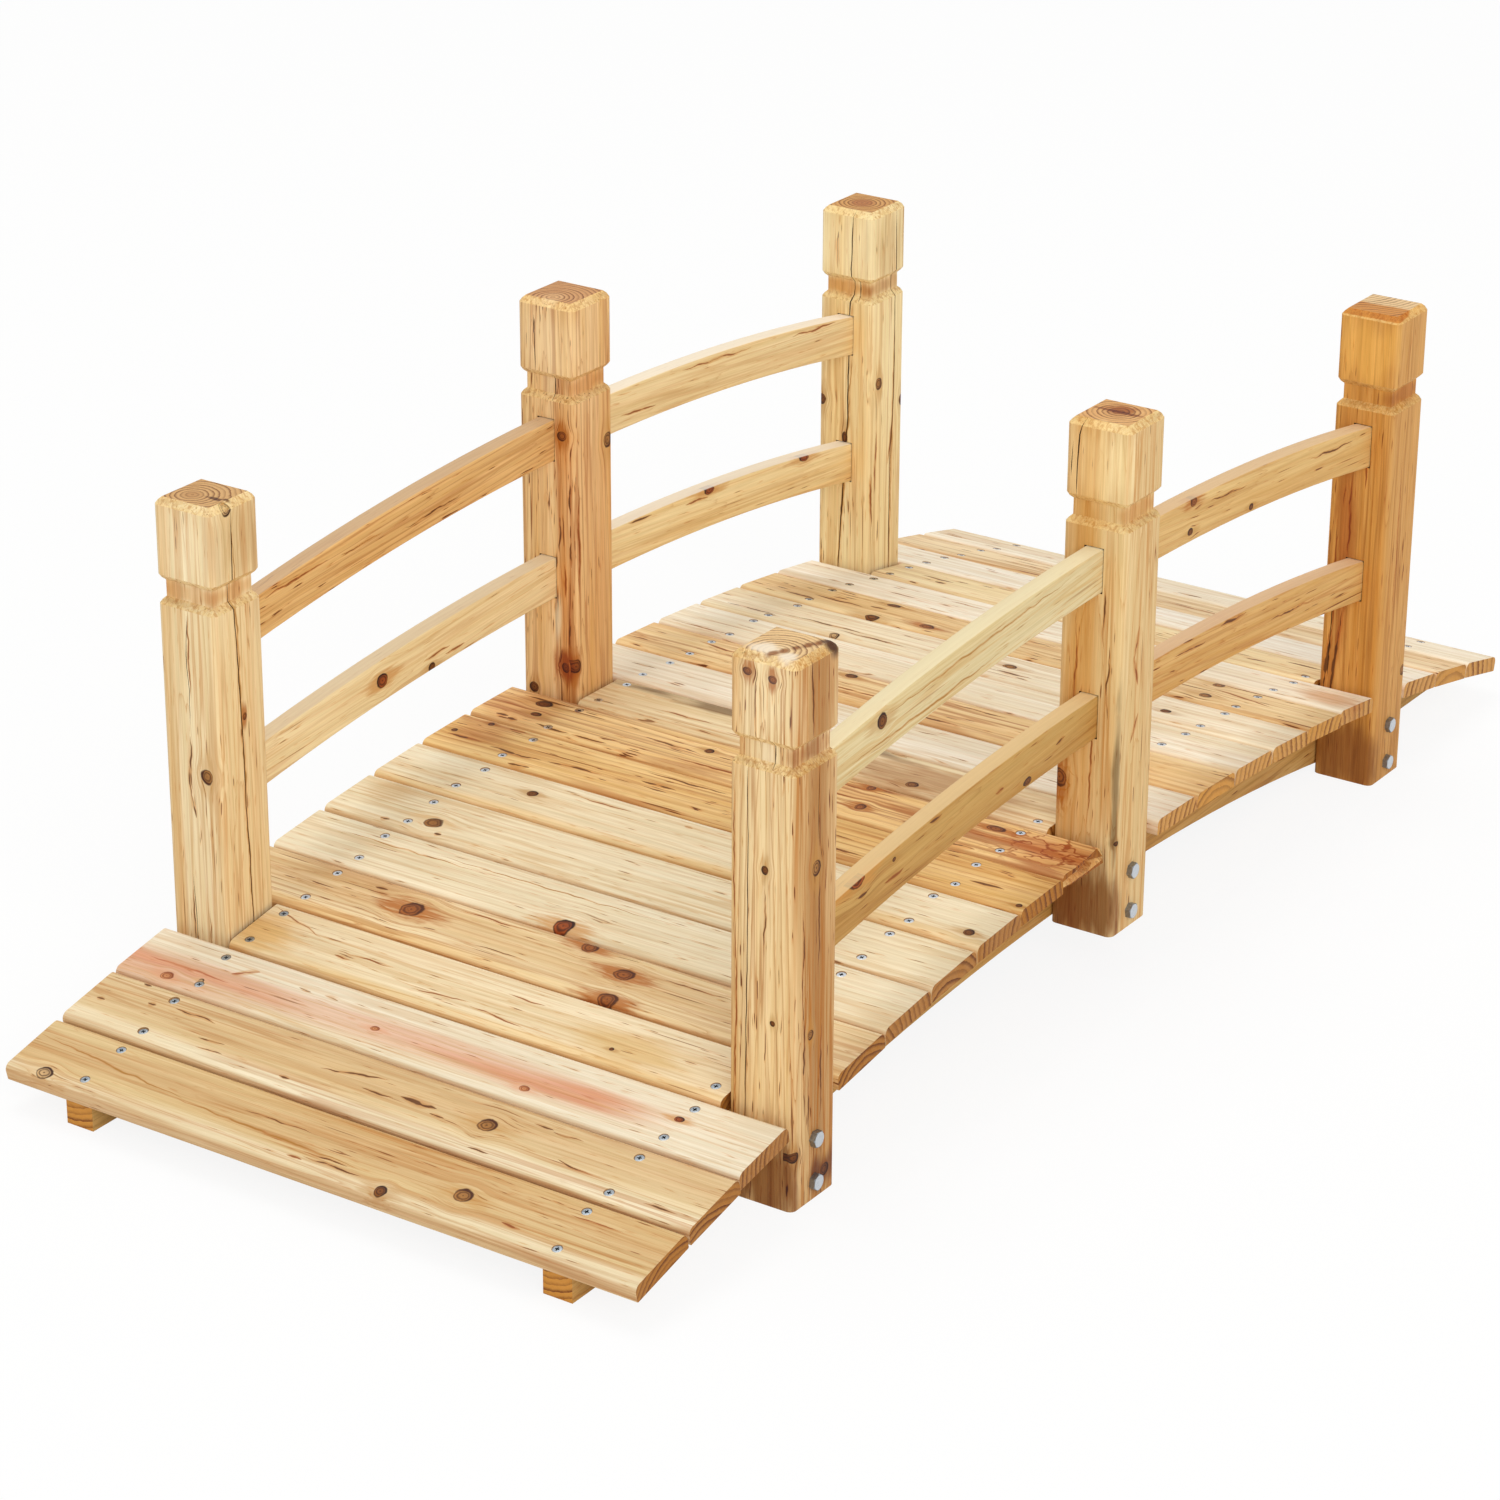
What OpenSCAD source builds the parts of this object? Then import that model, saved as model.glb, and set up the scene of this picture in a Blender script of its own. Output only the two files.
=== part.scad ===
// Small timber garden footbridge: an arched plank deck on two bowed stringers,
// six turned-down square posts and two arched rails a bay on each side.
// X runs along the bridge, Y across it and Z up. The origin is on the ground, under the crown.

/* [Deck] */
// Width of a plank, along the bridge
plank_w = 70; // [50:1:90]
// Thickness of a plank
plank_t = 15; // [12:0.5:22]
// Length of a full plank, across the bridge
plank_len = 640; // [500:5:900]
// Gap between neighbouring planks at their undersides
plank_gap = 2.5; // [1:0.5:6]
// Radius of the rounded long top edges of a plank
plank_round = 6; // [3:0.5:8]
// Full planks beyond each end post
end_planks = 3; // [2:1:4]
// Full planks between two posts
bay_planks = 6; // [5:1:8]
// Gap between the end of a short plank and the post beside it
post_plank_gap = 4; // [1:0.5:8]

/* [Stringers] */
// Radius of the bowed top edge that carries the planks
arch_r = 3180; // [2800:10:4000]
// Thickness of a stringer, across the bridge
stringer_t = 28; // [20:1:40]
// Depth of a stringer, between its two bowed edges
stringer_h = 70; // [55:1:74]
// Distance from the edge of the last plank back to the end of a stringer
stringer_set_back = 5; // [2:1:20]

/* [Posts] */
// Side of a square post
post_w = 62; // [50:1:64]
// Length of a post
post_len = 473; // [440:1:600]
// How far a post reaches below the top edge of its stringer
post_below = 74.5; // [71:0.5:90]
// Radius of the four upright edges
post_round = 6; // [3:0.5:10]
// Width of the chamfer round the top of the cap block
cap_chamfer = 6; // [3:0.5:10]
// Height of the upright sides of the cap block
cap_side = 62; // [45:1:80]
// Depth of the groove under the cap block, on each face
groove_depth = 6; // [3:0.5:9]
// Height of the straight neck inside the groove
neck_h = 14.5; // [8:0.5:24]

/* [Rails] */
// Radius of the bowed top edge of a rail
rail_r = 3000; // [2600:10:4000]
// Depth of a rail
rail_h = 40; // [30:1:50]
// Thickness of a rail, across the bridge
rail_t = 18; // [12:1:26]
// Width of the chamfer along the four long edges of a rail
rail_edge = 2; // [1:0.5:4]
// Height of the upper rail's crown above the foot of a middle post
rail_top = 361; // [320:1:366]
// Distance from the upper rail down to the lower one
rail_drop = 135; // [100:1:150]
// Depth of the mortise that takes the end of a rail
mortise_depth = 20; // [10:1:26]

/* [Bolts] */
// Diameter of the bolt holes through post and stringer
bolt_bore = 9; // [6:0.5:11]
// Height of the lower bolt hole above the foot of its post
bolt_low = 16; // [14:0.5:20]
// Distance between the two bolt holes of a post
bolt_spacing = 39; // [25:0.5:44]

/* [Hidden] */
// Clearance between pieces that are screwed or bolted face to face
seat_gap = 0.1;
// Clearance round a rail's end inside its mortise
mortise_gap = 0.3;
// Overrun of every cut past the face it leaves
cut_over = 2;
// Fragments of a full turn on the long bows and on the small rounds
$fn = 720;
round_fn = 48;

// Names of the three post rows along the bridge and of the two sides
ROWS = ["near", "middle", "far"];
BAYS = ["near", "far"];
SIDES = ["left", "right"];
LEVELS = ["upper", "lower"];

// Place along the bridge of each row, and side of the bridge, as signs
row_signs_shares = [-1, 0, 1];
side_signs_shares = [1, -1];

// Planks counted from the middle post to an end post, and in all
post_step = bay_planks + 1;
plank_count = 2 * (end_planks + post_step) + 1;
mid_plank = end_planks + post_step;

// The bow: turn from plank to plank, and the height of its centre that sets the end posts on the ground
plank_turn = (plank_w + plank_gap) / arch_r * 180 / PI;
post_turn = post_step * plank_turn;
post_x = arch_r * sin(post_turn);
arch_z = post_below - arch_r * cos(post_turn);

// Posts stand flush with the plank ends, and the stringers against the posts' inner faces
post_y = plank_len / 2 - post_w / 2;
post_inner_y = post_y - post_w / 2;
short_len = 2 * (post_inner_y - post_plank_gap);
stringer_y = post_inner_y - seat_gap - stringer_t / 2;

// Half length of the deck at the plank undersides, and of a stringer
deck_half = arch_r * sin(mid_plank * plank_turn) + plank_w / 2 * cos(mid_plank * plank_turn);
stringer_half = deck_half - stringer_set_back;

// Height of each row's foot, and of the crown of each rail
row_feet = [for (s = row_signs_shares) arch_z + arch_r * cos(s * post_turn) - post_below];
rail_crowns = [row_feet[1] + rail_top, row_feet[1] + rail_top - rail_drop];

// Ends of a bay's rails along the bridge, inside their mortises
bay_from = post_w / 2 - mortise_depth + mortise_gap;
bay_to = post_x - post_w / 2 + mortise_depth - mortise_gap;

// Half turn that carries every bow past the ends of the bridge
bow_turn = asin((deck_half + post_w) / min(arch_r, rail_r));

function plank_name(i) = str("plank_", i < 9 ? "0" : "", i + 1);
function post_name(row, side) = str("post_", ROWS[row], "_", SIDES[side]);
function rail_name(level, bay, side) = str("rail_", LEVELS[level], "_", BAYS[bay], "_", SIDES[side]);
function stringer_name(side) = str("stringer_", SIDES[side]);

// A plank in line with a row of posts is short and ends between them
function is_short(i) = abs(i - mid_plank) == post_step || i == mid_plank;

// Cross-section of a plank, lying on its underside
module plank_section() {
    side_h = plank_t - plank_round;
    flat_w = plank_w - 2 * plank_round;
    translate([-plank_w / 2, 0]) square([plank_w, side_h]);
    translate([-flat_w / 2, 0]) square([flat_w, plank_t]);
    for (s = [-1, 1]) translate([s * flat_w / 2, side_h]) circle(r = plank_round, $fn = round_fn);
}

module plank(i) {
    turn = (i - mid_plank) * plank_turn;
    length = is_short(i) ? short_len : plank_len;
    color("burlywood")
        translate([0, 0, arch_z]) rotate([0, turn, 0]) translate([0, length / 2, arch_r + seat_gap])
            rotate([90, 0, 0]) linear_extrude(length) plank_section();
}

// A bar bowed about the Y axis, w across and h deep under its top edge, with its long edges chamfered
module bowed_bar(top_r, h, w, edge) {
    rotate([90, 0, 0]) rotate([0, 0, 90 - bow_turn]) rotate_extrude(angle = 2 * bow_turn)
        translate([top_r - h, 0])
            polygon([
                [edge, -w / 2], [h - edge, -w / 2], [h, edge - w / 2], [h, w / 2 - edge],
                [h - edge, w / 2], [edge, w / 2], [0, w / 2 - edge], [0, edge - w / 2]
            ]);
}

// A slab upright across the whole bridge, between two places along it and two heights
module slab(x_from, x_to, z_from, z_to) {
    translate([x_from, -plank_len / 2, z_from]) cube([x_to - x_from, plank_len, z_to - z_from]);
}

module stringer(side) {
    color("peru") intersection() {
        difference() {
            translate([0, side_signs_shares[side] * stringer_y, arch_z])
                bowed_bar(arch_r, stringer_h, stringer_t, 0);
            for (row = [0 : 2]) bolt_holes(row);
        }
        slab(-stringer_half, stringer_half, 0, arch_z + arch_r + cut_over);
    }
}

// The run of a rail inside one bay, from mortise to mortise
module rail(level, bay, side) {
    s = row_signs_shares[2 * bay];
    color("wheat") intersection() {
        translate([0, side_signs_shares[side] * post_y, rail_crowns[level] - rail_r])
            bowed_bar(rail_r, rail_h, rail_t, rail_edge);
        slab(min(s * bay_from, s * bay_to), max(s * bay_from, s * bay_to), 0, rail_crowns[level] + cut_over);
    }
}

// Side view of a post: shaft, grooved neck and chamfered cap block
module post_outline() {
    half = post_w / 2;
    neck = half - groove_depth;
    block_top = post_len - cap_chamfer;
    block_foot = block_top - cap_side;
    neck_top = block_foot - groove_depth;
    neck_foot = neck_top - neck_h;
    shoulder = neck_foot - groove_depth;
    right = [
        [half, 0], [half, shoulder], [neck, neck_foot], [neck, neck_top],
        [half, block_foot], [half, block_top], [half - cap_chamfer, post_len]
    ];
    left = [for (i = [len(right) - 1 : -1 : 0]) [-right[i][0], right[i][1]]];
    polygon(concat(right, left));
}

// Plan of a post: a square with rounded corners
module post_plan() {
    flat = post_w - 2 * post_round;
    square([post_w, flat], center = true);
    square([flat, post_w], center = true);
    for (x = [-1, 1]) for (y = [-1, 1])
        translate([x * flat / 2, y * flat / 2]) circle(r = post_round, $fn = round_fn);
}

// The blank of a post, shaped on all four faces, with its foot at the origin
module post_blank() {
    intersection() {
        linear_extrude(post_len) post_plan();
        for_each_face() rotate([90, 0, 0]) linear_extrude(post_w + 2 * cut_over, center = true) post_outline();
    }
}

// The side view run through both ways, so that all four faces get it
module for_each_face() {
    intersection() {
        children();
        rotate([0, 0, 90]) children();
    }
}

// Mortises for one level of rails in the post of a row
module rail_mortises(level, row, side) {
    for (s = [-1, 1]) {
        x = row_signs_shares[row] * post_x + s * post_w / 2;
        if (s * row_signs_shares[row] <= 0) intersection() {
            translate([0, side_signs_shares[side] * post_y, rail_crowns[level] + mortise_gap - rail_r])
                bowed_bar(rail_r, rail_h + 2 * mortise_gap, rail_t + 2 * mortise_gap, 0);
            slab(
                x - (s > 0 ? mortise_depth : cut_over),
                x + (s > 0 ? cut_over : mortise_depth),
                0, rail_crowns[level] + cut_over
            );
        }
    }
}

// The two bolt holes across the bridge at a row of posts
module bolt_holes(row) {
    for (h = [bolt_low, bolt_low + bolt_spacing])
        translate([row_signs_shares[row] * post_x, 0, row_feet[row] + h]) rotate([90, 0, 0])
            cylinder(d = bolt_bore, h = plank_len + 2 * cut_over, center = true, $fn = round_fn);
}

module post(row, side) {
    color("tan") difference() {
        translate([row_signs_shares[row] * post_x, side_signs_shares[side] * post_y, row_feet[row]])
            post_blank();
        for (level = [0 : 1]) rail_mortises(level, row, side);
        bolt_holes(row);
    }
}

for (i = [0 : plank_count - 1])
    plank(i);
for (row = [0 : 2]) for (side = [0 : 1])
    post(row, side);
for (level = [0 : 1]) for (bay = [0 : 1]) for (side = [0 : 1])
    rail(level, bay, side);
for (side = [0 : 1])
    stringer(side);
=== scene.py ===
import math
import random
from collections import namedtuple

import bmesh
import bpy
from mathutils import Matrix, Vector


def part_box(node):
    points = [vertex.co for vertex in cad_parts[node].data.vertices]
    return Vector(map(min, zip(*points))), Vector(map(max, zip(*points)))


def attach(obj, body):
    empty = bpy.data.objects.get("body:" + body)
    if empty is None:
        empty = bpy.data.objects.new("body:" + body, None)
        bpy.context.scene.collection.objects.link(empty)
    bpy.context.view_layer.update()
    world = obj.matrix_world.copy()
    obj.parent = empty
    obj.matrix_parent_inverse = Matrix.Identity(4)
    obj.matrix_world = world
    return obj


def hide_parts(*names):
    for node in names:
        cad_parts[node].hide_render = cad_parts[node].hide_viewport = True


# A small arched garden footbridge in natural pine: planks on two bowed stringers, six posts,
# bowed rails let into the posts, zinc bolts and screws. Sizes are in metres.
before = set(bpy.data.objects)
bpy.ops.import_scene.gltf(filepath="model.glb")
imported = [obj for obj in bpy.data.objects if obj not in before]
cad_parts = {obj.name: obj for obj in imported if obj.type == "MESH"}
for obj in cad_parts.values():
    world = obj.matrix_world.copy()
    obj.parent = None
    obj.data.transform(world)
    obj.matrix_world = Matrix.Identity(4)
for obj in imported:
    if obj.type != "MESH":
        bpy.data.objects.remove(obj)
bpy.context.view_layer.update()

MM = 0.001

# The deck's bow: the planks lie on the top edge of the stringers
PLANKS = 21
MIDDLE_PLANK = 11
SHORT_PLANKS = (4, 11, 18)
PLANK_W, PLANK_T, PLANK_LEN, PLANK_GAP = 70 * MM, 15 * MM, 640 * MM, 2.5 * MM
SHORT_LEN = 508 * MM
PLANK_ROUND, PLANK_EASE = 6 * MM, 1.0 * MM
WARP_ACROSS, WARP_UP = 0.18 * MM, 0.10 * MM
SEAT_GAP = 0.1 * MM
ARCH_R = 3180 * MM
POST_BELOW = 74.5 * MM
PLANK_TURN = (PLANK_W + PLANK_GAP) / ARCH_R
POST_TURN = 7 * PLANK_TURN
ARCH_Z = POST_BELOW - ARCH_R * math.cos(POST_TURN)

# Stringers
STRINGER_T, STRINGER_H, STRINGER_EASE = 28 * MM, 70 * MM, 1.2 * MM

# Posts, as lengths up from the foot
POST_W, POST_LEN = 62 * MM, 473 * MM
POST_ROUND = 6 * MM
CAP_CHAMFER, CAP_SIDE, GROOVE, NECK = 6 * MM, 62 * MM, 6 * MM, 14.5 * MM
BLOCK_TOP = POST_LEN - CAP_CHAMFER
BLOCK_FOOT = BLOCK_TOP - CAP_SIDE
NECK_TOP = BLOCK_FOOT - GROOVE
NECK_FOOT = NECK_TOP - NECK
SHOULDER = NECK_FOOT - GROOVE
POST_HALF = POST_W / 2

# Rails, all on arcs of one radius about the bridge's middle
RAIL_R, RAIL_H, RAIL_T, RAIL_EASE = 3000 * MM, 40 * MM, 18 * MM, 2 * MM
RAIL_TOP, RAIL_DROP = 361 * MM, 135 * MM
MORTISE_DEPTH, MORTISE_GAP, MORTISE_EASE, MORTISE_OUT = 20 * MM, 0.6 * MM, 0.3 * MM, 10 * MM
# Into how many straight steps a stringer, a rail and a mortise are sawn along their bow
STRINGER_STEPS, RAIL_STEPS, MORTISE_STEPS = 40, 14, 3

# Bolts and screws
BOLT_LOW, BOLT_SPACING = 16 * MM, 39 * MM
HEX_ACROSS, HEX_H, NUT_H = 13 * MM, 5.3 * MM, 6.5 * MM
WASHER_R, WASHER_T, WASHER_EASE = 8.5 * MM, 1.6 * MM, 0.25 * MM
THREAD_R, THREAD_CORE, THREAD_START = 4.0 * MM, 3.4 * MM, 8.0 * MM
THREAD_TURNS = 4
SCREW_R, SCREW_ALONG, SCREW_ACROSS = 4.1 * MM, 240 * MM, 21.5 * MM
SCREW_TIP, SCREW_H, SCREW_SUNK = 1.9 * MM, 2.6 * MM, 0.5 * MM
SCREW_RIM, SCREW_DISH = 0.5 * MM, 0.15 * MM
SINK_TIP, SINK_R, SINK_H, SINK_Z = 2.0 * MM, SCREW_R + 0.9 * MM, 4.0 * MM, -1.4 * MM
SCREW_STRAY = 3 * MM
CROSS_LONG, CROSS_WIDE, CROSS_DEEP = 5.4 * MM, 1.7 * MM, 2.8 * MM


# Small helpers for modelling by hand


def fresh():
    """Leaves nothing selected, so that the next operator acts only on what it is given."""
    bpy.ops.object.select_all(action="DESELECT")


def only(piece):
    fresh()
    piece.select_set(True)
    bpy.context.view_layer.objects.active = piece


def edit(piece):
    only(piece)
    bpy.ops.object.mode_set(mode="EDIT")


def leave():
    bpy.ops.object.mode_set(mode="OBJECT")


def pick(piece, kind, test):
    """Selects the vertices, edges or faces of the piece that pass a test of their place."""
    bpy.ops.mesh.select_mode(type=kind)
    bpy.ops.mesh.select_all(action="DESELECT")
    work = bmesh.from_edit_mesh(piece.data)
    for part in {"VERT": work.verts, "EDGE": work.edges, "FACE": work.faces}[kind]:
        if test(part):
            part.select_set(True)
    bmesh.update_edit_mesh(piece.data)


def pick_all():
    bpy.ops.mesh.select_all(action="SELECT")


def settle(piece):
    """Puts the piece's place and turn into its mesh."""
    only(piece)
    bpy.ops.object.transform_apply(location=True, rotation=True, scale=True)


def newest(scale=None):
    """The shape that was just added, scaled and settled."""
    made = bpy.context.active_object
    if scale:
        made.scale = scale
    settle(made)
    return made


def slice_at(place, normal, keep_low=False, keep_high=False):
    """Cuts all of the mesh by a plane; keeps one side closed, or both sides."""
    pick_all()
    bpy.ops.mesh.bisect(plane_co=place, plane_no=normal, use_fill=keep_low or keep_high,
                        clear_outer=keep_low, clear_inner=keep_high)


def line(cutter, lining):
    """Gives a cutter, in its second slot, the finish that the walls of its cut will show."""
    for finish in (COUNTERSUNK, lining):
        cutter.data.materials.append(finish)
    for face in cutter.data.polygons:
        face.material_index = 1


def cut(piece, cutter, how="DIFFERENCE"):
    """Takes the cutter's shape out of the piece."""
    only(piece)
    tool = piece.modifiers.new("cut", "BOOLEAN")
    tool.operation = how
    tool.solver = "EXACT"
    tool.object = cutter
    bpy.ops.object.modifier_apply(modifier=tool.name)
    bpy.data.objects.remove(cutter)


def join(pieces, name):
    fresh()
    for piece in pieces:
        piece.select_set(True)
    bpy.context.view_layer.objects.active = pieces[0]
    bpy.ops.object.join()
    whole = bpy.context.active_object
    whole.name = name
    return whole


def copy_of(piece, place):
    """A copy with its own mesh, put at a place matrix."""
    twin = piece.copy()
    twin.data = piece.data.copy()
    bpy.context.scene.collection.objects.link(twin)
    twin.data.transform(place)
    return twin


def smooth(piece, degrees=32):
    only(piece)
    bpy.ops.object.shade_smooth_by_angle(angle=math.radians(degrees))


def box(size, place):
    fresh()
    bpy.ops.mesh.primitive_cube_add(size=1, location=place, scale=size)
    return newest()


# Finishes


def tint(code):
    """A colour written as a hex code, as the linear colour that a shader takes."""
    parts = [int(code[at:at + 2], 16) / 255 for at in (1, 3, 5)]
    return tuple(p / 12.92 if p <= 0.04045 else ((p + 0.055) / 1.055) ** 2.4 for p in parts) + (1.0,)


class Wire:
    """A value on its way between shader nodes; arithmetic with it adds math nodes."""

    def __init__(self, sketch, socket):
        self.sketch = sketch
        self.socket = socket

    def __add__(self, other):
        return self.sketch.sum("ADD", self, other)

    def __sub__(self, other):
        return self.sketch.sum("SUBTRACT", self, other)

    def __rsub__(self, other):
        return self.sketch.sum("SUBTRACT", other, self)

    def __mul__(self, other):
        return self.sketch.sum("MULTIPLY", self, other)

    def __truediv__(self, other):
        return self.sketch.sum("DIVIDE", self, other)

    def __rtruediv__(self, other):
        return self.sketch.sum("DIVIDE", other, self)

    def __pow__(self, other):
        return self.sketch.sum("POWER", self, other)

    def __abs__(self):
        return self.sketch.sum("ABSOLUTE", self)


# The tone by which resin darkens the wood that it has soaked; the same tone darkens the planks' long edges as
# painted shade
RESIN_AND_SHADE_TONE = "#E4B478"


class Sketch:
    """Lays out shader nodes in plain steps. Colours are given as hex codes."""

    def __init__(self, tree):
        self.tree = tree

    def fill(self, socket, value):
        if isinstance(value, Wire):
            self.tree.links.new(value.socket, socket)
        else:
            socket.default_value = tint(value) if isinstance(value, str) else value

    def node(self, kind, fill=(), **options):
        made = self.tree.nodes.new(kind)
        for option, value in options.items():
            setattr(made, option, value)
        for socket, value in dict(fill).items():
            self.fill(made.inputs[socket], value)
        return made

    def out(self, made, socket=0):
        return Wire(self, made.outputs[socket])

    def sum(self, how, *values):
        return self.out(self.node("ShaderNodeMath", dict(enumerate(values)), operation=how))

    def highest(self, first, second):
        return self.sum("MAXIMUM", first, second)

    def vec(self, how, *values):
        made = self.node("ShaderNodeVectorMath", dict(enumerate(values)), operation=how)
        return self.out(made, "Value" if how in ("DOT_PRODUCT", "LENGTH") else "Vector")

    def dot(self, first, second):
        return self.vec("DOT_PRODUCT", first, second)

    def scaled(self, vector, factor):
        made = self.node("ShaderNodeVectorMath", {"Vector": vector, "Scale": factor}, operation="SCALE")
        return self.out(made, "Vector")

    def turned(self, vector, turn, place=(0, 0, 0)):
        """A vector in the axes of a board that lies at a place with a turn."""
        made = self.node("ShaderNodeMapping", {"Vector": vector, "Location": place, "Rotation": turn},
                         vector_type="TEXTURE")
        return self.out(made, "Vector")

    def noise(self, vector, across, along, detail=2.0, rough=0.5):
        """A noise with so many waves in a metre across the board, and along it."""
        where = self.vec("MULTIPLY", vector, (across, along, across))
        made = self.node("ShaderNodeTexNoise", {"Vector": where, "Scale": 1.0, "Detail": detail,
                                                "Roughness": rough})
        return self.out(made, "Fac")

    def swing(self, value, reach):
        """A noise value as a swing of up to half the reach either way."""
        return (value - 0.5) * reach

    def step(self, value, low, high, out_low=0.0, out_high=1.0):
        made = self.node("ShaderNodeMapRange", {"Value": value, "From Min": low, "From Max": high,
                                                "To Min": out_low, "To Max": out_high},
                         interpolation_type="SMOOTHSTEP")
        return self.out(made, "Result")

    def contour(self, level, half):
        """Thin lines where a noise passes its middle level."""
        return self.step(abs(level - 0.5), half * 0.2, half, 1.0, 0.0)

    def mix(self, share, first, second, how="MIX"):
        made = self.node("ShaderNodeMix", {0: share, 6: first, 7: second}, data_type="RGBA", blend_type=how)
        return self.out(made, 2)

    def resin_and_shade_darken(self, share, colour):
        """The colour, darkened to a share by the tone of resin: real resin for streaks and flecks, painted
        shade for long edges.
        """
        return self.mix(share, colour, self.mix(1.0, colour, RESIN_AND_SHADE_TONE, "MULTIPLY"))

    def show(self, shader, kind="ShaderNodeOutputMaterial"):
        self.fill(self.node(kind).inputs["Surface"], self.out(shader))

    def surface(self, height, strength, distance, fill):
        """Ends the tree in a surface with a fine relief."""
        bump = self.node("ShaderNodeBump", {"Strength": strength, "Distance": distance, "Height": height})
        self.show(self.node("ShaderNodeBsdfPrincipled", dict(fill, Normal=self.out(bump))))

    def seen(self):
        """1 on rays from the camera, from mirrors and through glass, else 0."""
        path = self.node("ShaderNodeLightPath")
        rays = [self.out(path, f"Is {ray} Ray") for ray in ("Camera", "Glossy", "Transmission")]
        return self.highest(rays[0], self.highest(rays[1], rays[2]))


def group_tree(name, inputs, outputs):
    """A new node group, with its sockets named by kind: v for vectors, f for numbers, c for colours."""
    tree = bpy.data.node_groups.new(name, "ShaderNodeTree")
    kinds = {"v": "NodeSocketVector", "f": "NodeSocketFloat", "c": "NodeSocketColor"}
    for way, sockets in (("INPUT", inputs), ("OUTPUT", outputs)):
        for kind, names in sockets.items():
            for socket in names.split():
                tree.interface.new_socket(socket, in_out=way, socket_type=kinds[kind])
    s = Sketch(tree)
    inlet = s.node("NodeGroupInput")
    return s, lambda socket: s.out(inlet, socket), s.node("NodeGroupOutput").inputs


def knot_bend_group():
    """Bends the grain round one knot, and measures how far a point is from it in knot radii."""
    s, given, result = group_tree(
        "grain_round_a_knot", {"v": "Board Centre Across Out", "f": "Size Stretch Depth Ragged"},
        {"v": "Board", "f": "Reach Spread Side"})
    away = s.vec("SUBTRACT", given("Board"), given("Centre"))
    across = s.dot(away, given("Across"))
    wide = across / given("Size")
    long = s.dot(away, (0, 1, 0)) / (given("Size") * given("Stretch"))
    s.fill(result["Side"], wide * 0.8 + long * -0.5)
    hidden = s.step(s.dot(away, given("Out")) + given("Depth"), -0.004, 0.0, 1.0, 0.0) * 40.0

    def distance(lengthwise):
        far = s.sum("SQRT", wide * wide + lengthwise * lengthwise)
        return s.highest(far + given("Ragged"), 0.0) + hidden
    reach = distance(long)
    s.fill(result["Reach"], reach)
    s.fill(result["Spread"], distance(long * 0.38))
    pull = reach / 2.0
    pull = s.sum("EXPONENT", pull * pull * -1.0) * 0.85
    s.fill(result["Board"], s.vec("SUBTRACT", given("Board"), s.scaled(given("Across"), across * pull)))
    return s.tree


def knot_paint_group():
    """Paints one knot: rings round a dark middle, a rim that is darker on one side, and a spiky halo."""
    s, given, result = group_tree(
        "knot_figure", {"c": "Colour Core Rim Halo", "f": "Reach Spread Side Bold Glow Spikes Cloud"},
        {"c": "Colour"})
    reach = given("Reach")
    around = s.step(given("Spread") + given("Spikes"), 0.6, 1.8, given("Glow"), 0.0)
    colour = s.mix(around, given("Colour"), given("Halo"))
    dark_side = s.step(given("Side"), -0.8, 0.7)
    turns = s.step(s.sum("COSINE", reach * 11.0), -0.3, 1.0, 0.0, 0.75)
    shade = s.highest(given("Cloud"), s.highest(turns, dark_side * 0.3))
    colour = s.mix(s.step(reach, 0.86, 1.04, 1.0, 0.0), colour, s.mix(shade, given("Core"), given("Rim")))
    off = abs(reach - 0.92) / (dark_side * 0.17 + 0.11)
    edge = s.step(off, 0.3, 1.0, 1.0, 0.0) * s.step(dark_side, 0.0, 1.0, 0.65, 1.0)
    s.fill(result["Colour"], s.mix(edge * given("Bold"), colour, given("Rim")))
    return s.tree


def streak_group():
    """A thin resin streak, wavering and broken along the grain, and the wood that it has soaked."""
    s, given, result = group_tree(
        "resin_streak", {"c": "Colour Hue", "v": "Board Centre Across Out",
                         "f": "Half Width Depth Lean Waver Broken"}, {"c": "Colour"})
    away = s.vec("SUBTRACT", given("Board"), given("Centre"))
    length = s.dot(away, (0, 1, 0))
    across = s.dot(away, given("Across")) - length * given("Lean")
    along = length / given("Half")
    taper = s.highest(1.0 - along * along, 0.001)
    off = abs(across - given("Waver")) / (taper * given("Width"))
    seen = s.step(s.dot(away, given("Out")) + given("Depth"), -0.002, 0.0)
    colour = s.resin_and_shade_darken(s.step(off, 0.8, 3.2, 0.6, 0.0) * seen, given("Colour"))
    core = s.step(off / given("Broken"), 0.6, 1.25, 0.9, 0.0) * seen
    s.fill(result["Colour"], s.mix(core, colour, given("Hue")))
    return s.tree


KNOT_BEND, KNOT_PAINT, STREAK = knot_bend_group(), knot_paint_group(), streak_group()

# Face directions in board axes: x across, y along the grain, z through the thickness
FACES = {"top": ((1, 0, 0), (0, 0, 1)), "-z": ((1, 0, 0), (0, 0, -1)), "-x": ((0, 0, 1), (-1, 0, 0))}

# A knot: its place in board axes, radius, kind, stretch along the grain and depth under the face
Knot = namedtuple("Knot", "face centre size kind stretch depth")
# A resin streak: its place, half its length, half its width, depth, colour and lean over the grain
Streak = namedtuple("Streak", "face centre half width depth hue lean", defaults=(0.0,))
# A band of other tone along the grain: where across the board, half its width, colour, share, axis,
# drift along the board, and the stretch of the board on which it shows
Band = namedtuple("Band", "at half hue share axis drift start stop", defaults=(0, 0.0, -1.0, 1.0))
# A patch of other tone, for stained wood and for painted shade: its centre in board axes, half sizes across,
# along and through, colour, share, way of mixing and how soft its edge is
Stain = namedtuple("Stain", "centre reach hue share how soft", defaults=("MULTIPLY", 0.4))
# A burl: swirling grain round a centre, its half sizes, how far the rings are thrown and curls in a metre
Burl = namedtuple("Burl", "centre reach throw curl")
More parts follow.
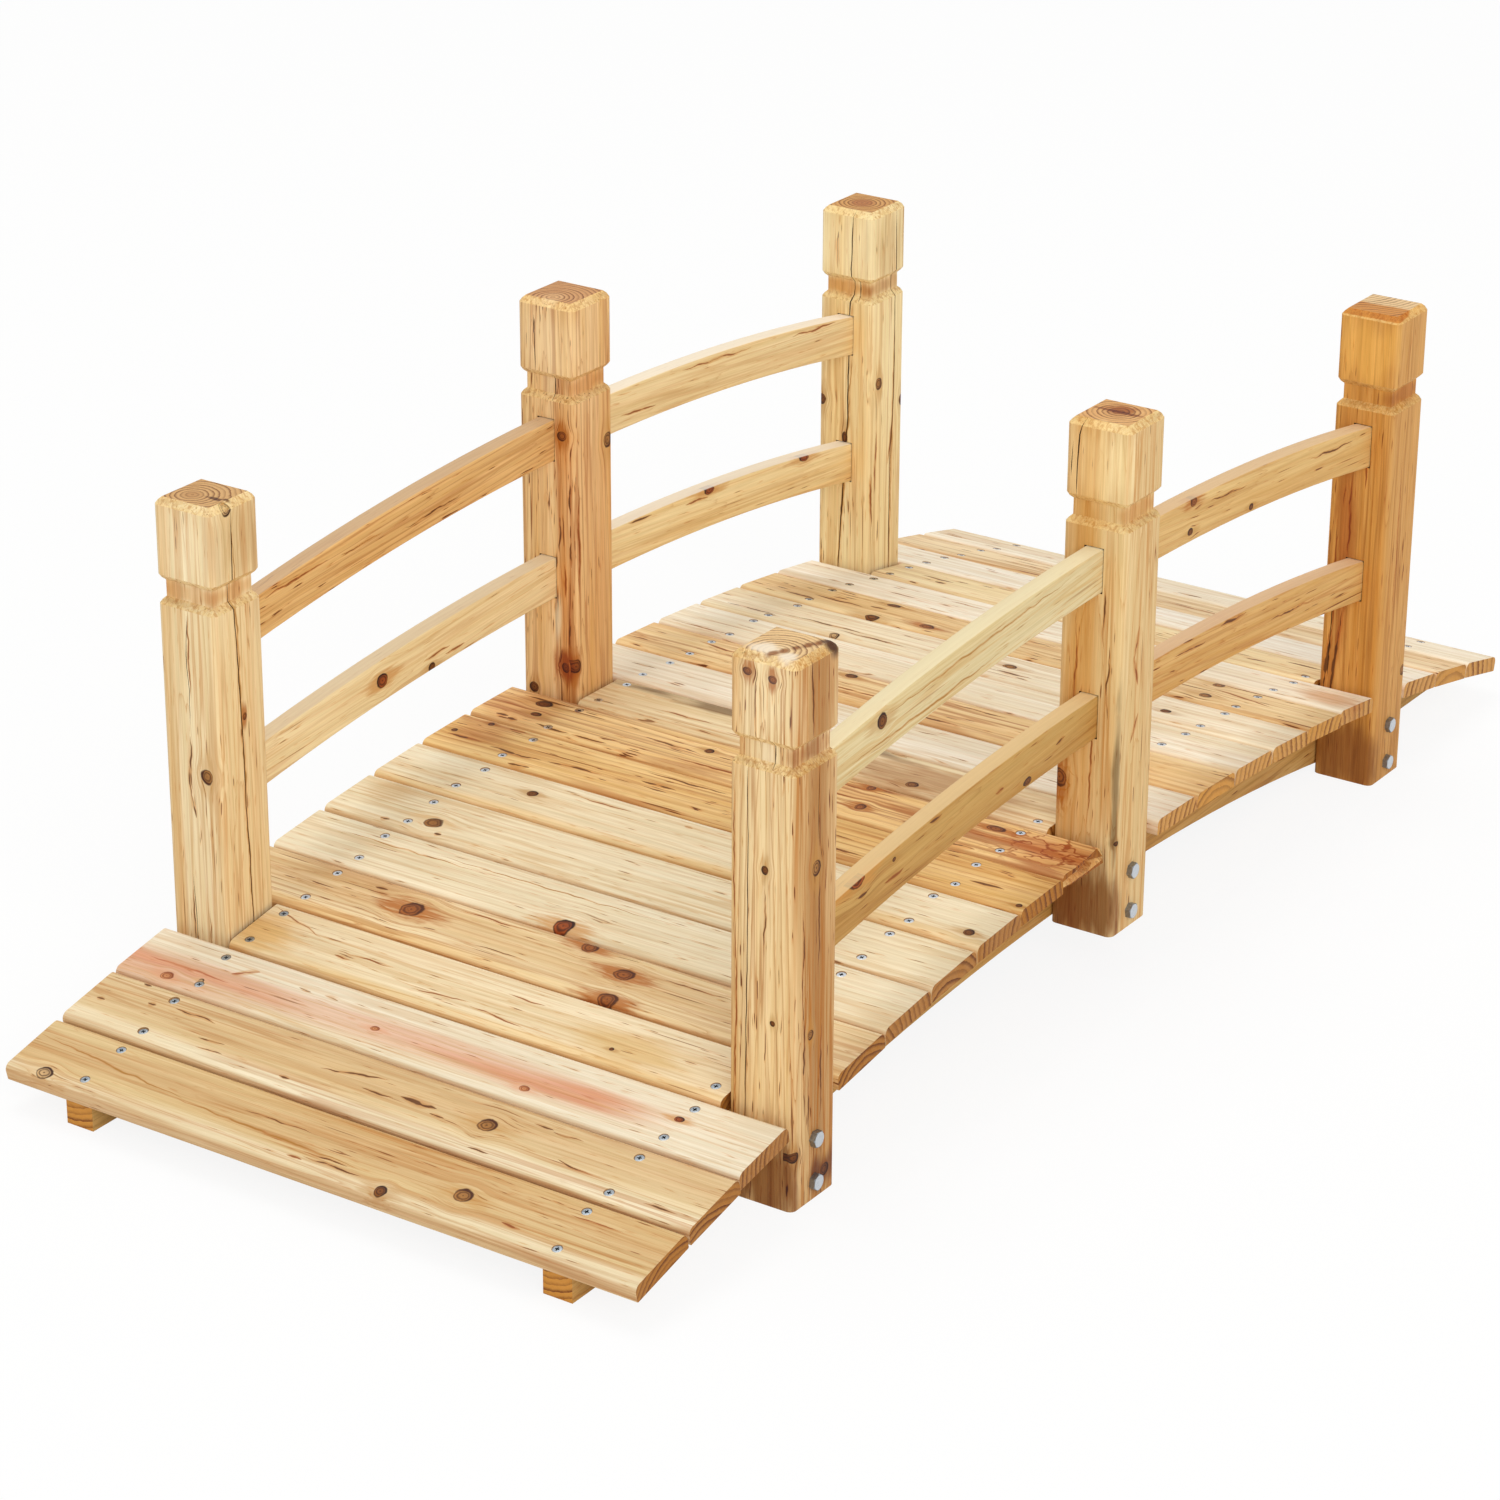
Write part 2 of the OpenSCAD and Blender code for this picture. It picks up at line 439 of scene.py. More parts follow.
# A wood: pale, warm and late-wood colours, how strong its lines are, ring width, where the pith lies,
# taper, wander of the rings, share of flecks, heartwood's colour, radius and share, colour of a sawn end,
# bands, stained patches and patches of painted shade, burl, coarseness of the grain, colour of upward faces
# and share of painted shade on the long edges
Wood = namedtuple("Wood", "pale warm late line ring pith taper wander flecks heart heart_r heart_mix end "
                          "bands stains burl coarse lid edges")


def timber(pale, warm, late, line, flecks):
    """A common board of one colour of pine, its pith under its middle."""
    return Wood(pale, warm, late, line, ring=4.4 * MM, pith=(0.010, -0.060), taper=0.02, wander=2.2 * MM,
                flecks=flecks, heart="#B07A40", heart_r=0.02, heart_mix=0.0, end="#A2702C", bands=(),
                stains=(), burl=None, coarse=1.5, lid=None, edges=0.0)


WHITE = timber("#F2E6C8", "#ECDAB4", "#C8923A", 0.36, 0.25)
CREAM = timber("#F1E1C0", "#EAD2A8", "#C48A34", 0.44, 0.40)
STRAW = timber("#F8E5B8", "#EED29C", "#C07A20", 0.46, 0.35)
GOLD = timber("#F0D9AE", "#E5C48E", "#B26C18", 0.52, 0.50)
HONEY = timber("#F5D396", "#E8BA6E", "#AC5E0E", 0.62, 0.65)
RUSSET = timber("#F4D096", "#E8B66C", "#A6560C", 0.62, 0.70)
AMBER = timber("#DCA963", "#C88A42", "#9A5608", 0.50, 0.50)
DUSKY = timber("#D0A662", "#C08D46", "#8C5410", 0.55, 0.70)

# Knots as core, rim and halo colours, then how bold the rim is and how strong the halo
KNOTS = {
    "ring": ("#D9B07A", "#3A1A06", "#DDB478", 1.0, 0.30),
    "dark": ("#824A14", "#301202", "#B27A2C", 1.0, 0.45),
    "eye": ("#AC763A", "#482004", "#C08A40", 1.0, 0.45),
    "rust": ("#A05A22", "#461C04", "#AE6218", 0.95, 0.85),
    "cocoa": ("#A06A32", "#4E2A0E", "#D8AE70", 0.85, 0.40),
    "red": ("#A24C16", "#2E0E02", "#C98A40", 1.0, 0.70),
    "blush": ("#CC8A58", "#7E3816", "#DC9C74", 0.85, 0.50),
}
LATE_SHARE = 0.22
RESIN = "#6A3408"
SAWN_PALE, SAWN_RING = "#FFF4E2", "#92683A"
FUZZ, FUZZ_SHADE = "#F4D48C", "#B4741F"


def new_finish(name):
    """A material with no nodes yet."""
    finish = bpy.data.materials.new(name)
    finish.use_nodes = True
    finish.node_tree.nodes.clear()
    return finish


class Pine(Sketch):
    """Sawn pine, drawn in board axes: rings round a pith, fibres, flecks, resin streaks, knots, stained
    patches and painted shade.
    """

    def __init__(self, tree, place, turn, wood, seed):
        super().__init__(tree)
        self.wood = wood
        where = self.node("ShaderNodeTexCoord")
        self.normal = self.out(where, "Normal")
        self.face = self.turned(self.normal, turn)
        self.plain = self.turned(self.out(where, "Object"), turn, place)
        self.board = self.plain
        self.shift = (seed * 3.1, seed * 7.7, seed * 5.3)
        self.bent = []

    def placed(self, group, board, spot, **values):
        """One knot or streak group set at its spot."""
        across, out = FACES[spot.face]
        values.update(Board=board, Centre=spot.centre, Across=across, Out=out, Depth=spot.depth)
        return self.node("ShaderNodeGroup", values, node_tree=group)

    def off(self, spot):
        """How far a point is from a patch of tone or a burl, 1 at its rim."""
        away = self.vec("SUBTRACT", self.board, spot.centre)
        return self.vec("LENGTH", self.vec("DIVIDE", away, spot.reach))

    def bend(self, knots):
        """Bends the grain round each knot in turn."""
        ragged = self.swing(self.noise(self.plain, 130, 100), 0.5)
        for knot in knots:
            made = self.placed(KNOT_BEND, self.board, knot, Size=knot.size, Stretch=knot.stretch,
                               Ragged=ragged)
            self.board = self.out(made, "Board")
            self.bent.append((made, KNOTS[knot.kind]))

    def grow(self):
        """Growth rings, wandering a little, narrowing along the grain and thrown about in a burl."""
        wood = self.wood
        self.own = self.vec("ADD", self.board, self.shift)
        self.grained = self.vec("MULTIPLY", self.own, (1 / wood.coarse, 1.0, 1 / wood.coarse))
        apart = self.node("ShaderNodeSeparateXYZ", {0: self.board})
        self.parts = [self.out(apart, axis) for axis in range(3)]
        self.wander = self.swing(self.noise(self.own, 26, 3.2, 3.0), wood.wander * 4)
        ragged = self.swing(self.noise(self.own, 240, 14), wood.ring * 0.35)
        flat = self.out(self.node("ShaderNodeCombineXYZ", {0: self.parts[0] - wood.pith[0], 1: 0.0,
                                                           2: self.parts[2] - wood.pith[1]}))
        self.radius = self.vec("LENGTH", flat) + self.wander
        rings = self.radius + ragged + self.parts[1] * wood.taper
        if wood.burl:
            self.near_burl = self.step(self.off(wood.burl), 0.3, 1.1, 1.0, 0.0)
            swirl = self.swing(self.noise(self.own, 46, 22, 2.0, 0.4), wood.burl.throw)
            rings = rings + swirl * self.near_burl
        count = (rings + 2.0) / wood.ring
        dice = self.node("ShaderNodeTexWhiteNoise", {"W": self.sum("FLOOR", count)}, noise_dimensions="1D")
        self.strength = self.out(dice, "Value")
        along_ring = self.dot(self.vec("NORMALIZE", flat), self.face)
        slope = self.sum("SQRT", self.highest(1.0 - along_ring * along_ring, 0.015))
        steep = (1 / LATE_SHARE) / slope
        self.past = self.sum("FRACT", count)
        before = self.sum("EXPONENT", (self.past - 1.0) * steep)
        after = self.sum("EXPONENT", self.past * (steep * -5.0)) * 0.7
        self.late = self.highest(before, after) * self.step(self.strength, 0.05, 0.95, 0.25, 1.0)

    def tone(self):
        """Pale and warm wood in broad patches and in narrow bands along the grain."""
        wood, along = self.wood, self.parts[1]
        broad = self.step(self.noise(self.own, 22, 2.0, 3.0), 0.36, 0.66)
        narrow = self.step(self.noise(self.own, 180, 1.8, 3.0, 0.6), 0.40, 0.66)
        colour = self.mix(broad * 0.65 + narrow * 0.35, wood.pale, wood.warm)
        self.inner = self.step(self.radius, wood.heart_r * 0.6, wood.heart_r * 1.4, wood.heart_mix, 0.0)
        if wood.heart_mix:
            colour = self.mix(self.inner, colour, wood.heart)
        torn = self.noise(self.own, 160, 5)
        faded = self.step(self.noise(self.own, 40, 4, 1.0), 0.30, 0.62, 0.5, 1.0)
        for band in wood.bands:
            across = self.parts[band.axis] + self.wander * 1.6 - along * band.drift
            edge = abs(across - band.at) + self.swing(torn, band.half * 0.9)
            fade = faded * self.step(along, band.start - 0.05, band.start + 0.05)
            fade = fade * self.step(along, band.stop - 0.05, band.stop + 0.05, 1.0, 0.0)
            share = self.step(edge, band.half * 0.3, band.half * 1.5, band.share, 0.0) * fade
            colour = self.mix(share, colour, band.hue)
        self.colour = colour

    def rule(self):
        """Thin dark lines along the grain: late wood, fine contours and soft threads."""
        wood = self.wood
        coming = self.step(self.noise(self.own, 40, 3.5), 0.34, 0.62, 0.25, 0.9)
        fine = self.contour(self.noise(self.grained, 150, 2.2), 0.06) * coming
        thread = self.step(self.noise(self.grained, 560, 4.5), 0.56, 0.70, 0.0, 0.4)
        lines = self.sum("MINIMUM", self.highest(self.late, fine) + thread, 1.2)
        if wood.burl:
            curl = wood.burl.curl
            curls = self.contour(self.noise(self.own, curl, curl * 0.6, 2.0, 0.55), 0.05)
            lines = self.highest(lines, curls * self.near_burl * 1.3)
        self.colour = self.mix(lines * wood.line, self.colour, wood.late)

    def fleck(self):
        """Fine fibres and short resin flecks."""
        wood = self.wood
        self.fibre = self.noise(self.plain, 1300 / wood.coarse, 22, 2.0, 0.6)
        self.strand = self.noise(self.grained, 420, 3.0, 3.0, 0.6)
        shade = self.step(self.fibre, 0.25, 0.75, 0.44, 0.54) + self.step(self.strand, 0.30, 0.70, 0.43, 0.54)
        tone = self.node("ShaderNodeCombineColor", {0: shade, 1: shade ** 1.2, 2: shade ** 1.8})
        colour = self.mix(1.0, self.colour, self.out(tone), "MULTIPLY")
        crowd = self.step(self.noise(self.own, 20, 4), 0.42, 0.66, 0.0, 0.05)
        dash = self.noise(self.grained, 760, 34, 1.0) + crowd
        hair = self.noise(self.grained, 640, 9, 1.0) + crowd
        rare = 0.765 - 0.05 * wood.flecks
        strong = min(1.0, 0.35 + wood.flecks)
        soaked = self.highest(self.step(dash, rare - 0.09, rare, 0.0, 0.5),
                              self.step(hair, rare - 0.06, rare + 0.02, 0.0, 0.4))
        fleck = self.highest(self.step(dash, rare, rare + 0.03, 0.0, strong),
                             self.step(hair, rare + 0.025, rare + 0.055, 0.0, strong * 0.85))
        self.colour = self.mix(fleck, self.resin_and_shade_darken(soaked, colour), RESIN)

    def mark(self, streaks):
        """Resin streaks, and then the knots round which the grain was bent."""
        waver = self.swing(self.noise(self.plain, 9, 38), 0.007)
        broken = self.step(self.noise(self.plain, 60, 52), 0.36, 0.58, 0.2, 1.25)
        for streak in streaks:
            made = self.placed(STREAK, self.plain, streak, Colour=self.colour, Half=streak.half,
                               Width=streak.width, Lean=streak.lean, Hue=streak.hue, Waver=waver,
                               Broken=broken)
            self.colour = self.out(made, "Colour")
        spikes = self.swing(self.noise(self.plain, 420, 34, 3.0), 2.6)
        cloud = self.step(self.noise(self.plain, 320, 240, 3.0, 0.6), 0.44, 0.70, 0.0, 0.5)
        for knot, (core, rim, halo, bold, glow) in self.bent:
            values = {socket: self.out(knot, socket) for socket in ("Reach", "Spread", "Side")}
            values.update(Colour=self.colour, Core=core, Rim=rim, Halo=halo, Bold=bold, Glow=glow,
                          Spikes=spikes, Cloud=cloud)
            self.colour = self.out(self.node("ShaderNodeGroup", values, node_tree=KNOT_PAINT), "Colour")

    def tint_tops_and_shade_edges(self):
        """The colour of faces that look up, and painted shade on the long edges."""
        wood = self.wood
        if wood.lid:
            upward = self.step(self.dot(self.normal, (0, 0, 1)), 0.7, 0.95, 0.0, 0.75)
            self.colour = self.mix(upward, self.colour, wood.lid)
        # Painted shade: long edges darken where the gaps between the boards lie in shade.
        if wood.edges:
            sideways = abs(self.dot(self.face, (1, 0, 0)))
            self.colour = self.resin_and_shade_darken(self.step(sideways, 0.60, 1.0, 0.0, wood.edges), self.colour)

    def saw(self, grain):
        """Sawn ends are darker and show their rings; cuts slantwise over the grain stay fuzzy and yellow."""
        wood, colour = self.wood, self.colour
        facing = abs(self.dot(self.normal, grain))
        end = self.step(facing, 0.82, 0.93)
        slant = self.step(facing, 0.35, 0.6) * (1.0 - end)
        fuzz = self.noise(self.plain, 700, 120, 3.0, 0.7)
        ringed = self.step(self.past, 0.35, 0.95) * self.step(self.strength, 0.0, 1.0, 0.45, 1.0)
        sawn = self.mix(self.inner, self.mix(0.12, wood.end, colour), wood.heart)
        sawn = self.mix(1.0, sawn, self.mix(ringed, SAWN_PALE, SAWN_RING), "MULTIPLY")
        mottle = end * self.step(fuzz, 0.35, 0.68, 1.0, 0.75)
        colour = self.mix(mottle, self.mix(end, colour, wood.end), sawn)
        colour = self.mix(slant * self.step(fuzz, 0.36, 0.62, 0.10, 0.50), colour, FUZZ)
        self.colour = self.mix(slant * self.step(self.strand, 0.5, 0.62, 0.0, 0.5), colour, FUZZ_SHADE)
        self.relief = self.fibre * 0.8 + fuzz * slant * 1.2

    # Stained patches, and the patches of painted shade below the deck and on the post necks.
    def stain(self):
        blotch = self.noise(self.own, 80, 16, 3.0)
        for stain in self.wood.stains:
            patch = self.off(stain) + self.swing(blotch, 3.7 * stain.soft)
            share = self.step(patch, 0.75 - stain.soft, 0.75 + stain.soft, stain.share, 0.0)
            self.colour = self.mix(share, self.colour, stain.hue, stain.how)


def pine(name, place, turn, wood, grain, knots=(), streaks=(), seed=0.0):
    """The finish of a board that lies at a place with a turn, its grain along a world direction."""
    finish = new_finish(name)
    s = Pine(finish.node_tree, place, turn, wood, seed)
    s.bend(knots)
    s.grow()
    s.tone()
    s.rule()
    s.fleck()
    s.mark(streaks)
    s.tint_tops_and_shade_edges()
    s.saw(grain)
    s.stain()
    s.surface(s.relief, 0.35, 0.7 * MM, {"Base Color": s.colour, "Specular IOR Level": 0.3,
                                         "Roughness": s.step(s.fibre, 0.2, 0.8, 0.74, 0.58)})
    return finish


def plain_finish(name, low, high, scale, roughness, metal=0.0):
    """A matt or metal finish clouded between two tones."""
    finish = new_finish(name)
    s = Sketch(finish.node_tree)
    cloud = s.noise(s.out(s.node("ShaderNodeTexCoord"), "Object"), scale, scale, 3.0)
    s.surface(cloud, 0.2, 0.2 * MM, {"Base Color": s.mix(cloud, low, high), "Metallic": metal,
                                     "Roughness": s.step(cloud, 0.2, 0.8, roughness, roughness + 0.15)})
    return finish


ZINC = plain_finish("zinc_plate", "#B4BAC0", "#D6DADE", 420, 0.26, 1.0)
# A darker copy of the zinc, as painted dark reflection for the screw heads on the near planks.
ZINC_PAINTED_DARK = plain_finish("zinc_painted_dark", "#363E44", "#C8D0D6", 700, 0.40, 1.0)
# A darker copy of the zinc, painted shade for the sides of the bolts that mirror the dark wood and floor.
SIDE_ZINC = plain_finish("shaded_zinc", "#74777A", "#AAAEB2", 600, 0.36, 1.0)
# Painted shade: near black lining for the cross recesses of the screw heads.
RECESS = plain_finish("shaded_recess", "#1C242C", "#36424C", 900, 0.5, 0.6)
# Painted shade: dark brown lining for the drying checks and the gaps round the rails in their mortises, for
# the shade inside them.
SHADE_IN_GAPS = plain_finish("painted_shade_in_gaps", "#3A2008", "#6E4418", 500, 0.9)
COUNTERSUNK = plain_finish("countersunk_wood", "#7C5A36", "#A97F4E", 700, 0.8)


def dress(piece, slot, *nodes):
    """Lets a piece ride on the bridge, and hides the CAD nodes that it stands for."""
    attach(piece, "root")
    if nodes:
        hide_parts(*nodes)


def paint(piece, *finishes):
    piece.data.materials.clear()
    for finish in finishes:
        piece.data.materials.append(finish)


# Deck boards

SECTION_STEPS = 5
STATIONS = 14


def board_blank(length, dice):
    """A planed board, its underside at z 0, drawn along y from its end section with a little warp."""
    fresh()
    bpy.ops.mesh.primitive_plane_add(size=1, location=(0, -length / 2, PLANK_T / 2),
                                     rotation=(math.pi / 2, 0, 0))
    board = newest((PLANK_W, PLANK_T, 1))
    edit(board)
    pick(board, "VERT", lambda v: v.co.z > PLANK_T / 2)
    bpy.ops.mesh.bevel(offset=PLANK_ROUND, segments=SECTION_STEPS, affect="VERTICES")
    pick(board, "VERT", lambda v: v.co.z < 0.1 * MM)
    bpy.ops.mesh.bevel(offset=PLANK_EASE, segments=2, affect="VERTICES")
    pick(board, "EDGE", lambda e: e.calc_length() > PLANK_W / 2)
    bpy.ops.mesh.subdivide(number_cuts=3)
    pick_all()
    step = length / STATIONS
    for _ in range(STATIONS):
        drift = (dice.uniform(-WARP_ACROSS, WARP_ACROSS), step, dice.uniform(-WARP_UP, WARP_UP))
        bpy.ops.mesh.extrude_region_move(TRANSFORM_OT_translate={"value": drift})
    pick_all()
    bpy.ops.mesh.normals_make_consistent(inside=False)
    leave()
    return board


def screw_master(metal):
    """One countersunk screw head with its cross recess, its rim at z 0."""
    fresh()
    bpy.ops.mesh.primitive_cone_add(vertices=20, radius1=SCREW_TIP, radius2=SCREW_R, depth=SCREW_H,
                                    location=(0, 0, -SCREW_H / 2))
    head = newest()
    paint(head, metal, RECESS)
    edit(head)
    pick(head, "FACE", lambda f: f.normal.z > 0.9)
    bpy.ops.mesh.inset(thickness=SCREW_RIM, depth=SCREW_DISH)
    leave()
    for size in ((CROSS_LONG, CROSS_WIDE, CROSS_DEEP), (CROSS_WIDE, CROSS_LONG, CROSS_DEEP)):
        arm = box(size, (0, 0, 0))
        edit(arm)
        pick(arm, "VERT", lambda v: v.co.z < 0)
        bpy.ops.transform.resize(value=(0.45, 0.45, 1))
        leave()
        line(arm, RECESS)
        cut(head, arm)
    return head


def countersink(hole):
    """The cutter for one screw hole, set at its place on a board."""
    fresh()
    bpy.ops.mesh.primitive_cone_add(vertices=20, radius1=SINK_TIP, radius2=SINK_R, depth=SINK_H,
                                    location=(0, 0, SINK_Z))
    tool = newest()
    line(tool, COUNTERSUNK)
    tool.location = hole
    settle(tool)
    return tool


def plank_place(number):
    """Where a plank's underside sits on the bow, and its turn."""
    turn = (number - MIDDLE_PLANK) * PLANK_TURN
    seat = ARCH_R + SEAT_GAP
    slide = PLANK_SLIDE.get(number, 0) * MM
    return Vector((seat * math.sin(turn), slide, ARCH_Z + seat * math.cos(turn))), turn


def plank_knot(across, along, size, kind="eye", stretch=1.0):
    """A knot on a plank's top face, in millimetres from the plank's middle."""
    return Knot("top", (across * MM, along * MM, PLANK_T), size * MM, kind, stretch, 12 * MM)


UMBER, SIENNA, TAN = "#552A06", "#8A4412", "#A8762F"
STREAK_HALF = 0.65 * MM


def streak(face, centre, depth, length, width=1.0, hue=UMBER, lean=0.0):
    """A resin streak, its length in millimetres; it leans by so much across for each along."""
    return Streak(face, centre, length / 2 * MM, width * STREAK_HALF, depth, hue, lean)


def plank_streak(across, along, *look):
    """A resin streak on a plank's top face, in millimetres from the plank's middle."""
    return streak("top", (across * MM, along * MM, PLANK_T), 5 * MM, *look)


def wash(across, along, half_across, half_along, hue, share):
    """A stained patch that runs into a plank's face, in millimetres."""
    centre = (across * MM, along * MM, PLANK_T * 0.7)
    return Stain(centre, (half_across * MM, half_along * MM, 30 * MM), hue, share)


PINK, BROWN, SAP, YOLK = "#D99A78", "#C69A66", "#EFE1C0", "#EBC27A"
FLAT, SIDE_LEFT, SIDE_RIGHT = (0.004, -0.045), (-0.085, -0.02), (0.085, -0.02)
